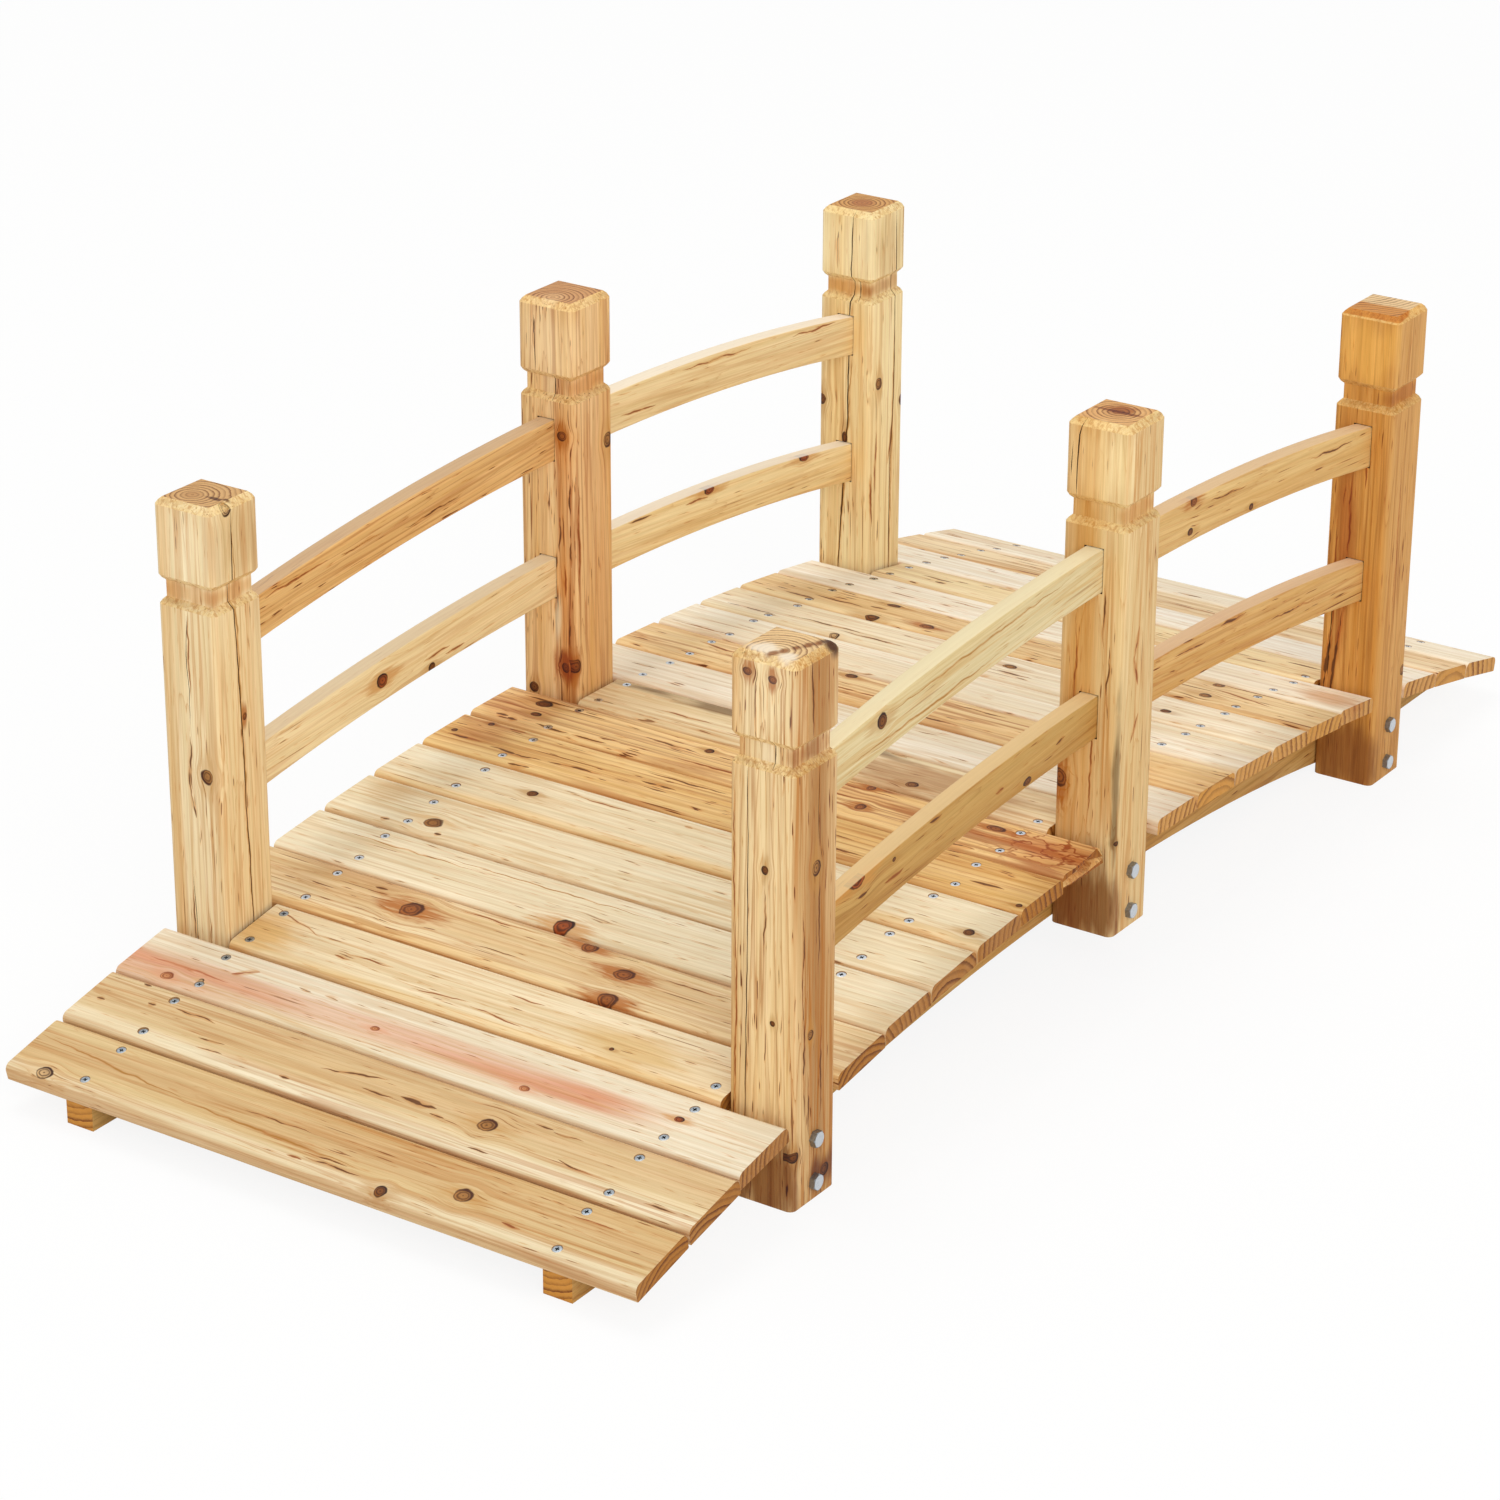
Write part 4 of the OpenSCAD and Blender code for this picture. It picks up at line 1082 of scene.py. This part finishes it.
# Each post's wood, knots (face, across, up, radius, kind, stretch), streaks (face, across, up, length, width,
# colour, lean) and drying checks, put where the real posts have them
POST_LOOKS = {
    ("near", "left"): (
        STRAW._replace(pith=(0.0065, -0.008), heart="#A87848", heart_r=0.008, heart_mix=0.5,
            end="#CEA672", pale="#FAE8BE", warm="#F0D4A0",
            bands=(Band(0.021, 0.007, "#E2AC62", 0.55), Band(-0.031, 0.004, "#E7C68C", 0.35)),
            stains=(NECK_SIDE_SHADE, NECK_FRONT_SHADE._replace(share=0.5), BLOCK_SIDE, pale_block("#464C48"),
                flow(-17, -5, 15, 3.2, "#6E4A22"))),
        [("x", 15, 231, 6.3, "eye", 1.05), ("y", 2, 279, 2.6, "rust", 1.3),
         ("y", -10, 468, 5.5, "ring", 1.0)],
        [("x", -2, 240, 50, 1.2), ("x", -4, 222, 30, 1.0), ("x", -2, 200, 22, 1.4, UMBER, 0.2),
         ("x", 1, 340, 80, 1.0, SIENNA), ("x", -6, 90, 70, 0.9), ("x", 12, 60, 90, 0.7, SIENNA),
         ("y", -1, 250, 430, 1.4, TAN, -0.016)],
        [Check("y", 1.3, 16, [(-4, 470), (-6, 405), (-6, 383), (-4, 344), (-3, 302), (-1, 245), (-1, 197),
             (1, 153), (2, 89), (3, 30)]), Check("x", 0.8, 8, [(1, 374), (-2, 338), (0, 306), (-1, 275)]),
         Check("x", 0.8, 7, [(-6, 135), (-4, 87), (-5, 60)])]),
    ("near", "right"): (
        STRAW._replace(pith=(-0.0015, -0.015), heart="#F4E4C4", heart_r=0.012, heart_mix=0.5, flecks=0.85,
            line=0.82, late="#AE6818", pale="#F8DEAC", warm="#EDC88C", end="#E6CA9C",
            bands=(Band(-0.031, 0.004, "#B98448", 0.75), Band(0.0, 0.013, "#9A642A", 0.5, 2),
                Band(0.026, 0.007, "#DDA452", 0.6)),
            stains=(Stain((0.01, 0.236, -0.016), (0.015, 0.01, 0.012), "#F0E0C6", 0.85, "MIX"),
                Stain((-0.016, 0.236, -0.02), (0.008, 0.01, 0.009), "#F0E0C6", 0.85, "MIX"),
                Stain((-0.026, 0.234, 0.022), (0.009, 0.012, 0.009), "#4A2208", 0.95),
                *(flow(-20 + 4.3 * n, 16 - 9.3 * n, 4.6, 6.5, "#9C6C38") for n in range(5)),
                Stain((-0.031, -0.215, 0.012), (0.012, 0.02, 0.02), "#8A4E18", 0.8), SHADE_BELOW_DECK,
                DEEP_NECK_SHADE, pale_block("#343838"))),
        [("x", -14, 458, 4, "rust", 0.8), ("x", 9, 456, 4, "rust", 0.8), ("x", 3, 295, 3, "dark", 1.2),
         ("x", 11, 164, 2.4, "dark", 1.0), ("y", -1, 293, 5.5, "eye", 1.2),
         ("y", -7, 150, 3.8, "eye", 1.1), ("y", -28, 49, 4.5, "dark", 1.0),
         ("y", 15, 20, 5.5, "eye", 1.0)],
        [("y", 4, 250, 110, 1.0), ("y", 8, 110, 90, 1.2), ("y", -16, 130, 110, 1.4),
         ("y", -10, 90, 60, 1.2), ("y", -18, 220, 90, 1.2), ("x", -26, 300, 140, 0.9, SIENNA),
         ("x", -24, 150, 200, 0.9, SIENNA), ("x", 3, 250, 60, 0.8), ("x", -6, 420, 60, 0.8),
         ("y", -8, 440, 70, 1.4)],
        [Check("x", 0.9, 12, [(-14, 377), (-13, 320), (-13, 238), (-14, 150), (-15, 69), (-14, 20)]),
         Check("x", 2.4, 13, [(8, 380), (8.3, 392), (8, 404)]),
         Check("y", 0.9, 6, [(2, 378), (1, 340), (3, 310)])]),
    ("middle", "left"): (
        RUSSET._replace(pith=(0.0, -0.018), heart="#E6C498", heart_r=0.012, heart_mix=0.5, end="#C8986A",
            taper=0.035, pale="#F6D29C", warm="#EBBC76",
            bands=(Band(-0.021, 0.011, "#D08430", 0.7, 0, 0.0, -1.0, 0.13),
                Band(0.024, 0.008, "#EAC890", 0.5)),
            burl=Burl((-0.018, -0.1175, -0.03), (0.015, 0.02, 0.02), 0.03, 100),
            stains=(Stain((-0.018, -0.1175, -0.031), (0.013, 0.02, 0.02), "#C98A48", 0.8),
                Stain((-0.011, -0.07, -0.031), (0.005, 0.025, 0.02), "#F2DDB4", 0.7, "MIX"), NECK_SIDE_SHADE,
                pale_block("#505850"))),
        [("x", 18, 347, 5, "rust", 0.9), ("x", 19, 118, 4, "rust", 1.2), ("x", -18, 90, 5, "dark", 1.0),
         ("y", 22, 331, 6, "eye", 1.2), ("y", -29, 121, 5, "rust", 1.3)],
        [("x", 14, 250, 36, 1.2), ("x", 26, 287, 30, 1.4), ("x", 27, 232, 26, 1.2),
         ("x", 10, 180, 40, 1.2), ("x", 19, 205, 34, 1.2, SIENNA), ("x", 24, 150, 40, 1.6),
         ("x", -12, 440, 30, 1.2), ("y", -24, 245, 110, 1.6, SIENNA)],
        [Check("x", 2.4, 12, [(7, 379), (7, 392), (6.6, 404)]),
         Check("x", 0.9, 8, [(-12, 458), (-12, 430), (-11, 405)])]),
    ("middle", "right"): (
        STRAW._replace(pith=(0.0, 0.002), heart="#B07A48", heart_r=0.012, heart_mix=0.5, flecks=0.4,
            taper=0.04, line=0.62, end="#DDB078", pale="#ECD09A", warm="#DFB878",
            bands=(Band(0.012, 0.017, "#D0923C", 0.75), Band(-0.031, 0.003, "#DDBD8A", 0.6)),
            burl=Burl((0.024, -0.105, -0.031), (0.012, 0.035, 0.02), 0.012, 90),
            stains=(Stain((-0.029, -0.1, -0.029), (0.0042, 0.11, 0.0042), "#857860", 0.8),
                flow(1, 8, 17, 15, "#C89A68"), flow(0, 2, 27, 3.4, "#A0703C"), SHADE_BELOW_DECK, NECK_SIDE_SHADE,
                pale_block("#6C6C56"))),
        [("x", -26, 141, 7, "rust", 1.2), ("y", -27, 90, 2.4, "dark", 1.0)],
        [("y", -5, 272, 30, 2.4, SIENNA, 0.22), ("y", -5, 246, 32, 2.4, SIENNA, -0.28),
         ("y", -3, 192, 26, 2.4, SIENNA, 0.5), ("x", 12, 300, 60, 1.2), ("x", 18, 240, 70, 1.0),
         ("x", -14, 230, 120, 1.0, SIENNA), ("x", 4, 160, 100, 1.0, SIENNA)],
        [Check("x", 1.3, 14, [(-14, 474), (-18, 459), (-19, 430), (-19, 404)]),
         Check("x", 0.9, 8, [(-24, 452), (-25, 420)])]),
    ("far", "left"): (
        STRAW._replace(pith=(0.001, -0.0015), heart="#A05A34", heart_r=0.012, heart_mix=0.7,
            end="#CC9A5C", pale="#FCEAB8", warm="#F4D496", bands=(Band(0.01, 0.008, "#F4CE84", 0.4),),
            stains=(DEEP_NECK_SHADE, NECK_FRONT_SHADE, BLOCK_SIDE, pale_block("#4C5652"))),
        [("x", -28, 270, 5.5, "dark", 1.0), ("x", 1, 234, 3, "dark", 2.2),
         ("y", -16, 293, 5.5, "eye", 1.1), ("y", 28, 265, 5, "dark", 1.2)],
        [("x", -10, 430, 40, 1.4), ("y", 8, 225, 50, 2.0, SIENNA, 0.15), ("y", -20, 210, 70, 1.6, SIENNA),
         ("y", -26, 170, 60, 1.4, SIENNA), ("x", -26, 90, 60, 1.2), ("x", 1, 200, 250, 1.4, TAN, -0.06),
         ("y", 10, 200, 300, 1.4, TAN, 0.02)],
        [Check("x", 1.5, 15, [(8, 474), (6, 413), (7, 392), (5, 375), (5, 340), (4, 300), (4, 256),
             (2, 223), (-1, 178), (-5, 94), (-5, 60)]),
         Check("y", 1.3, 14, [(13, 471), (14, 405), (13, 390), (12, 372), (13, 312), (12, 257), (7, 207),
             (8, 92), (8, 50)]), Check("x", 2.6, 11, [(14, 380), (14, 392), (13, 403)])]),
    ("far", "right"): (
        AMBER._replace(pith=(0.05, 0.03), ring=5.5 * MM, taper=0.05, end="#E8D0A8", flecks=0.4, line=0.48,
            pale="#DEA458", warm="#CA8834",
            bands=(Band(-0.031, 0.004, "#D0A062", 0.6), Band(0.024, 0.006, "#DDA252", 0.5)),
            stains=(flow(0, -31, 600, 40, "#E2B066", 0.06),
                Stain((0.012, 0.02, -0.031), (0.012, 0.12, 0.012), "#C98A4A", 0.6),
                SHADE_BELOW_DECK._replace(share=0.7), DEEP_NECK_SHADE, pale_block("#705E2C"))),
        [("y", 24, 104, 5, "eye", 1.1)],
        [("x", 6, 330, 60, 1.2, SIENNA), ("x", -8, 270, 90, 1.2, SIENNA),
         ("x", -24, 105, 100, 3.4, UMBER, -0.08), ("x", -15, 120, 110, 2.2, UMBER, -0.08),
         ("x", -20, 200, 110, 1.2, SIENNA), ("y", -6, 250, 160, 1.0, SIENNA)],
        [Check("x", 1.0, 7, [(-20, 190), (-21, 150), (-22, 100)])]),
}


# How far the cutter of a crack stands out of the wood, and its width at its root and at its ends as a share
CRACK_PROUD, CRACK_ROOT, CRACK_THIN = 1.5 * MM, 0.15, 0.12


def drying_check(post, spot, check, dice):
    """Opens a wedge-shaped crack down one face of a post, wandering as the wood dried."""
    towards_x = check.face == "x"
    rows = []
    for (a0, u0), (a1, u1) in zip(check.path, check.path[1:]):
        steps = max(1, round(abs(u1 - u0) / 11))
        for step in range(steps):
            share = step / steps
            rows.append((a0 + (a1 - a0) * share + dice.uniform(-0.35, 0.35), u0 + (u1 - u0) * share))
    rows.append(check.path[-1])
    wide, deep = check.width * MM, check.depth * MM + CRACK_PROUD

    def where(across, up):
        inward = deep / 2 - POST_HALF - CRACK_PROUD
        if towards_x:
            return spot + Vector((inward, -across * MM, up * MM))
        return spot + Vector((across * MM, inward, up * MM))

    def squeeze(by):
        bpy.ops.transform.resize(value=(1, by, 1) if towards_x else (by, 1, 1))
    fresh()
    bpy.ops.mesh.primitive_plane_add(size=1, location=where(*rows[0]))
    tool = newest((deep, wide, 1) if towards_x else (wide, deep, 1))
    edit(tool)
    through = 0 if towards_x else 1
    middle = where(*rows[0])[through]
    pick(tool, "VERT", lambda v: v.co[through] > middle)
    squeeze(CRACK_ROOT)
    pick_all()
    squeeze(CRACK_THIN)
    broad = CRACK_THIN
    for number, (across, up) in enumerate(rows[1:], 1):
        step = where(across, up) - where(*rows[number - 1])
        bpy.ops.mesh.extrude_region_move(TRANSFORM_OT_translate={"value": step})
        share = number / (len(rows) - 1)
        now = max(CRACK_THIN, min(1, 16 * share, 6 * (1 - share)) * dice.uniform(0.7, 1.15))
        squeeze(now / broad)
        broad = now
    pick_all()
    bpy.ops.mesh.normals_make_consistent(inside=False)
    leave()
    line(tool, SHADE_IN_GAPS)
    cut(post, tool)


def make_posts():
    blank = post_blank()
    for (row, side), (wood, knots, streaks, checks) in POST_LOOKS.items():
        spot = post_spot(row, side)
        dice = random.Random(f"{row} {side}")
        post = copy_of(blank, Matrix.Translation(spot))
        middle = spot + Vector((0, 0, POST_LEN / 2))
        wood = wood._replace(wander=1.3 * MM)
        finish = pine(f"pine_post_{row}_{side}", middle, POST_TURN_GRAIN, wood, (0, 0, 1),
                      [post_knot(*knot) for knot in knots], [post_streak(*mark) for mark in streaks],
                      spot.x * 9 + spot.y * 5)
        paint(post, finish, SHADE_IN_GAPS)
        for level in ("upper", "lower"):
            for bay in {"near": (1,), "middle": (-1, 1), "far": (-1,)}[row]:
                inside = spot.x + bay * (POST_HALF - MORTISE_DEPTH)
                outside = spot.x + bay * (POST_HALF + MORTISE_OUT)
                tool = bowed_bar(rail_crown(level) + MORTISE_GAP, RAIL_R, RAIL_H + 2 * MORTISE_GAP,
                                 RAIL_T + 2 * MORTISE_GAP, MORTISE_EASE, min(inside, outside),
                                 max(inside, outside), spot.y, MORTISE_STEPS)
                # The mortise's walls are lined with the painted shade of the gaps.
                line(tool, SHADE_IN_GAPS)
                cut(post, tool)
        for check in checks:
            drying_check(post, spot, check, dice)
        smooth(post)
        post.name = f"bridge_post_{row}_{side}"
        dress(post, "post_wood", f"post_{row}_{side}")
    bpy.data.objects.remove(blank)


# Rails and stringers

ALONG_GRAIN = Matrix(((0, 1, 0), (0, 0, 1), (1, 0, 0)))


def rail_knot(along, up, size, kind="eye", stretch=1.3):
    """A knot on a rail's right face, in millimetres along it from its middle and up from its middle line."""
    return Knot("-z", (up * MM, along * MM, -RAIL_T / 2), size * MM, kind, stretch, 7 * MM)


def rail_streak(along, up, *look):
    return streak("-z", (up * MM, along * MM, -RAIL_T / 2), 25 * MM, *look)


# Each rail's wood, knots (along, up, radius, kind, stretch) and streaks (along, up, length, width, colour)
RAIL_LOOKS = {
    ("upper", "near", "left"): (
        RUSSET._replace(pith=(0.012, 0.045), flecks=1.0, pale="#EBC284", warm="#DEAC66", lid="#C4A684"),
        [], [(-60, 4, 60, 1.0), (40, -6, 80, 1.0), (-150, 8, 90, 1.2, SIENNA)]),
    ("lower", "near", "left"): (
        STRAW._replace(pith=(0.004, 0.05), flecks=0.3, lid="#DCC6A4"),
        [(-38, 0, 6.5, "red", 1.1), (32, -17, 4, "dark", 1.2)],
        [(40, -7, 40, 1.4, SIENNA), (66, -13, 30, 1.2, SIENNA)]),
    ("upper", "near", "right"): (
        WHITE._replace(pith=(-0.004, 0.06), flecks=0.0, pale="#E0CDA0", warm="#D8C18C", line=0.5,
            lid="#EADCB4"), [(-126, 6, 6.5, "dark", 1.0)],
        [(20, 8, 300, 0.9, TAN), (-60, -12, 240, 0.9, TAN)]),
    ("lower", "near", "right"): (
        DUSKY._replace(pith=(0.01, 0.05), flecks=0.5, line=0.5, pale="#C59B57", warm="#B5823D",
            lid="#E8CA96"),
        [(-158, 19, 9, "red", 1.3), (-104, 10, 2, "dark"), (105, -16, 3.5, "dark", 1.8)],
        [(-152, 0, 14, 2.0), (-105, -5, 30, 1.8, SIENNA), (60, -4, 14, 1.8, SIENNA), (160, -2, 16, 1.8),
         (-40, 17, 20, 2.0)]),
    ("upper", "far", "left"): (
        STRAW._replace(pith=(0.004, 0.05), pale="#F6E0B0", warm="#ECCE94", flecks=0.3, lid="#F6EAD6"), [],
        [(-150, -12, 60, 1.2, SIENNA), (-20, 14, 120, 1.2, SIENNA), (150, 12, 80, 1.2, SIENNA)]),
    ("lower", "far", "left"): (
        STRAW._replace(pith=(0.0, 0.05), pale="#F8E2AE", warm="#F0CE8E", flecks=0.3, lid="#F6EAD6"),
        [(134, 16, 4.5, "red", 1.8), (-34, 18, 4.5, "red", 1.8)],
        [(-55, 12, 40, 1.6, SIENNA), (-150, 14, 40, 1.4)]),
    ("upper", "far", "right"): (
        GOLD._replace(pith=(0.01, 0.05), flecks=0.8, pale="#E0BA7A", warm="#D2A058", lid="#DCBC94"),
        [(-126, 14, 4, "rust", 1.4), (-128, -13, 3.5, "dark"), (-14, -15, 3, "dark")],
        [(-60, 8, 70, 1.2), (140, 6, 90, 1.2)]),
    ("lower", "far", "right"): (
        HONEY._replace(pith=(0.008, 0.05), flecks=1.0, pale="#DDB270", warm="#CC964C", lid="#E0BE98"), [],
        [(-120, 8, 60, 1.2), (80, -2, 90, 1.2), (-40, 17, 50, 2.0)]),
}


def make_rails():
    for (level, bay, side), (wood, knots, streaks) in RAIL_LOOKS.items():
        node = f"rail_{level}_{bay}_{side}"
        low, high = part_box(node)
        y_mid = (low[1] + high[1]) / 2
        rail = bowed_bar(rail_crown(level), RAIL_R, RAIL_H, RAIL_T, RAIL_EASE, low[0], high[0], y_mid,
                         RAIL_STEPS)
        smooth(rail)
        rail.name = f"bowed_rail_{level}_{bay}_{side}"
        x_mid = (low[0] + high[0]) / 2
        lean = math.asin(x_mid / RAIL_R)
        z_mid = rail_crown(level) - RAIL_R + math.sqrt((RAIL_R - RAIL_H / 2) ** 2 - x_mid ** 2)
        turn = (Matrix.Rotation(lean, 3, "Y") @ ALONG_GRAIN).to_euler()
        wood = wood._replace(line=wood.line * 0.75, flecks=wood.flecks * 0.7)
        finish = pine(f"pine_{node}", (x_mid, y_mid, z_mid), turn, wood, (1, 0, 0),
                      [rail_knot(*knot) for knot in knots], [rail_streak(*mark) for mark in streaks],
                      x_mid * 7 + y_mid * 3 + z_mid * 11)
        paint(rail, finish)
        dress(rail, "rail_wood", node)


def make_stringers():
    for side in ("left", "right"):
        node = f"stringer_{side}"
        low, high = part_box(node)
        y_mid = (low[1] + high[1]) / 2
        bar = bowed_bar(ARCH_Z + ARCH_R, ARCH_R, STRINGER_H, STRINGER_T, STRINGER_EASE, low[0], high[0],
                        y_mid, STRINGER_STEPS)
        edit(bar)
        slice_at((0, 0, 0), (0, 0, 1), keep_high=True)
        leave()
        smooth(bar)
        bar.name = f"arch_stringer_{side}"
        wood = DUSKY._replace(pith=(0.004, 0.012), ring=5.5 * MM, end="#D09440", coarse=2.0)
        turn = ALONG_GRAIN.to_euler()
        paint(bar, pine(f"pine_{node}", (0, y_mid, 0.05), turn, wood, (1, 0, 0), seed=y_mid * 13))
        dress(bar, "stringer_wood", node)


# Bolts


def hexagon(height):
    """A hexagon with its corners turned off, standing on z 0."""
    fresh()
    bpy.ops.mesh.primitive_cylinder_add(vertices=6, radius=HEX_ACROSS / math.sqrt(3), depth=height,
                                        location=(0, 0, height / 2))
    head = newest()
    fresh()
    reach = HEX_ACROSS / 2 + height * 1.73
    bpy.ops.mesh.primitive_cone_add(vertices=48, radius1=reach, radius2=HEX_ACROSS / 2 * 0.97, depth=height,
                                    location=(0, 0, height / 2))
    cut(head, newest(), "INTERSECT")
    return head


def bolt_master():
    """Head outside at z 0, then inwards a washer, nut and a short thread, all along z."""
    head = hexagon(HEX_H)
    through = POST_W + STRINGER_T + 2 * SEAT_GAP
    fresh()
    bpy.ops.mesh.primitive_cylinder_add(vertices=24, radius=WASHER_R, depth=WASHER_T,
                                        location=(0, 0, -through - WASHER_T / 2))
    washer = newest()
    edit(washer)
    pick(washer, "EDGE", lambda e: e.is_manifold and abs(e.verts[0].co.z - e.verts[1].co.z) < 1e-6)
    bpy.ops.mesh.bevel(offset=WASHER_EASE, segments=2, affect="EDGES")
    leave()
    nut = hexagon(NUT_H)
    nut.data.transform(Matrix.Translation((0, 0, -through - WASHER_T)) @ Matrix.Rotation(math.pi, 4, "X"))
    fresh()
    bpy.ops.mesh.primitive_cylinder_add(vertices=20, radius=THREAD_CORE, depth=1.0 * MM,
                                        location=(0, 0, -through - THREAD_START))
    thread = newest()
    edit(thread)
    turn = ((THREAD_R / THREAD_CORE, 0.35), (1.0, 0.2), (THREAD_CORE / THREAD_R, 0.35), (1.0, 0.2))
    for grow, drop in turn * THREAD_TURNS:
        lowest = min(v.co.z for v in bmesh.from_edit_mesh(thread.data).verts) + 1e-6
        pick(thread, "FACE", lambda f, z=lowest: f.normal.z < -0.9 and f.calc_center_median().z < z)
        bpy.ops.mesh.extrude_region_move(TRANSFORM_OT_translate={"value": (0, 0, -drop * MM)})
        bpy.ops.transform.resize(value=(grow, grow, 1))
    leave()
    return join([head, washer, nut, thread], "bolt_master")


def make_bolts():
    dice = random.Random(4165)
    master = bolt_master()
    for row in ("near", "middle", "far"):
        for side, out in (("left", 1), ("right", -1)):
            spot = post_spot(row, side)
            turn = Matrix.Rotation(-out * math.pi / 2, 4, "X")
            pair = []
            for lift in (BOLT_LOW, BOLT_LOW + BOLT_SPACING):
                place = Matrix.Translation((spot.x, spot.y + out * POST_HALF, spot.z + lift))
                spin = Matrix.Rotation(dice.uniform(0, math.pi / 3), 4, "Z")
                pair.append(copy_of(master, place @ turn @ spin))
            bolts = join(pair, f"post_bolts_{row}_{side}")
            # Faces square to the bolts' axis keep the plain zinc; the rest take the darker copy as painted
            # shade.
            paint(bolts, ZINC, SIDE_ZINC)
            for face in bolts.data.polygons:
                face.material_index = 0 if abs(face.normal.y) > 0.9 else 1
            smooth(bolts)
            dress(bolts, "zinc")
    bpy.data.objects.remove(master)


# Studio


def make_floor():
    """White to the eye, and matt to the light that falls on it, so that soft shadows show."""
    fresh()
    bpy.ops.mesh.primitive_plane_add(size=30, location=(0, 0, -0.3 * MM))
    floor = newest()
    floor.name = "studio_floor"
    finish = new_finish("white_floor")
    s = Sketch(finish.node_tree)
    matt = s.node("ShaderNodeBsdfDiffuse", {"Color": "#F6F6F4"})
    glow = s.node("ShaderNodeEmission", {"Color": "#FFFFFF", "Strength": 1.0})
    s.show(s.node("ShaderNodeMixShader", {0: s.seen() * 0.88, 1: s.out(matt), 2: s.out(glow)}))
    floor.data.materials.append(finish)


def make_room():
    """White all round, brighter to the eye than to the bridge."""
    room = bpy.data.worlds.new("white_room")
    room.use_nodes = True
    room.node_tree.nodes.clear()
    s = Sketch(room.node_tree)
    bright = s.step(s.seen(), 0.0, 1.0, 0.57, 1.0)
    s.show(s.node("ShaderNodeBackground", {"Color": "#FFFFFF", "Strength": bright}), "ShaderNodeOutputWorld")
    bpy.context.scene.world = room


# Lamps: name, place, size in metres and power in watts, all aimed at the middle of the bridge
LAMPS = (("window_left", (0.4, 2.0, 9.0), 4.5, 265), ("fill_right", (-5.2, -6.6, 5.0), 6.0, 410))
LAMP_AIM = Vector((0, 0, 0.2))


def make_lamps():
    for name, spot, size, watts in LAMPS:
        fresh()
        aim = (LAMP_AIM - Vector(spot)).to_track_quat("-Z", "Y").to_euler()
        bpy.ops.object.light_add(type="AREA", location=spot, rotation=aim)
        lamp = bpy.context.active_object
        lamp.name = name
        lamp.data.size = size
        lamp.data.energy = watts


CAMERA_SPOT, CAMERA_TURN = (-3.1668, -2.0467, 1.7816), (66.343, -0.239, -55.972)
LENS, SENSOR = 108.39, 36


def make_camera():
    fresh()
    bpy.ops.object.camera_add(location=CAMERA_SPOT, rotation=[math.radians(angle) for angle in CAMERA_TURN])
    camera = bpy.context.active_object
    camera.data.lens = LENS
    camera.data.sensor_width = SENSOR
    bpy.context.scene.camera = camera


make_camera()
make_deck()
make_posts()
make_rails()
make_stringers()
make_bolts()
make_floor()
make_room()
make_lamps()
bpy.context.scene.view_settings.view_transform = "Standard"
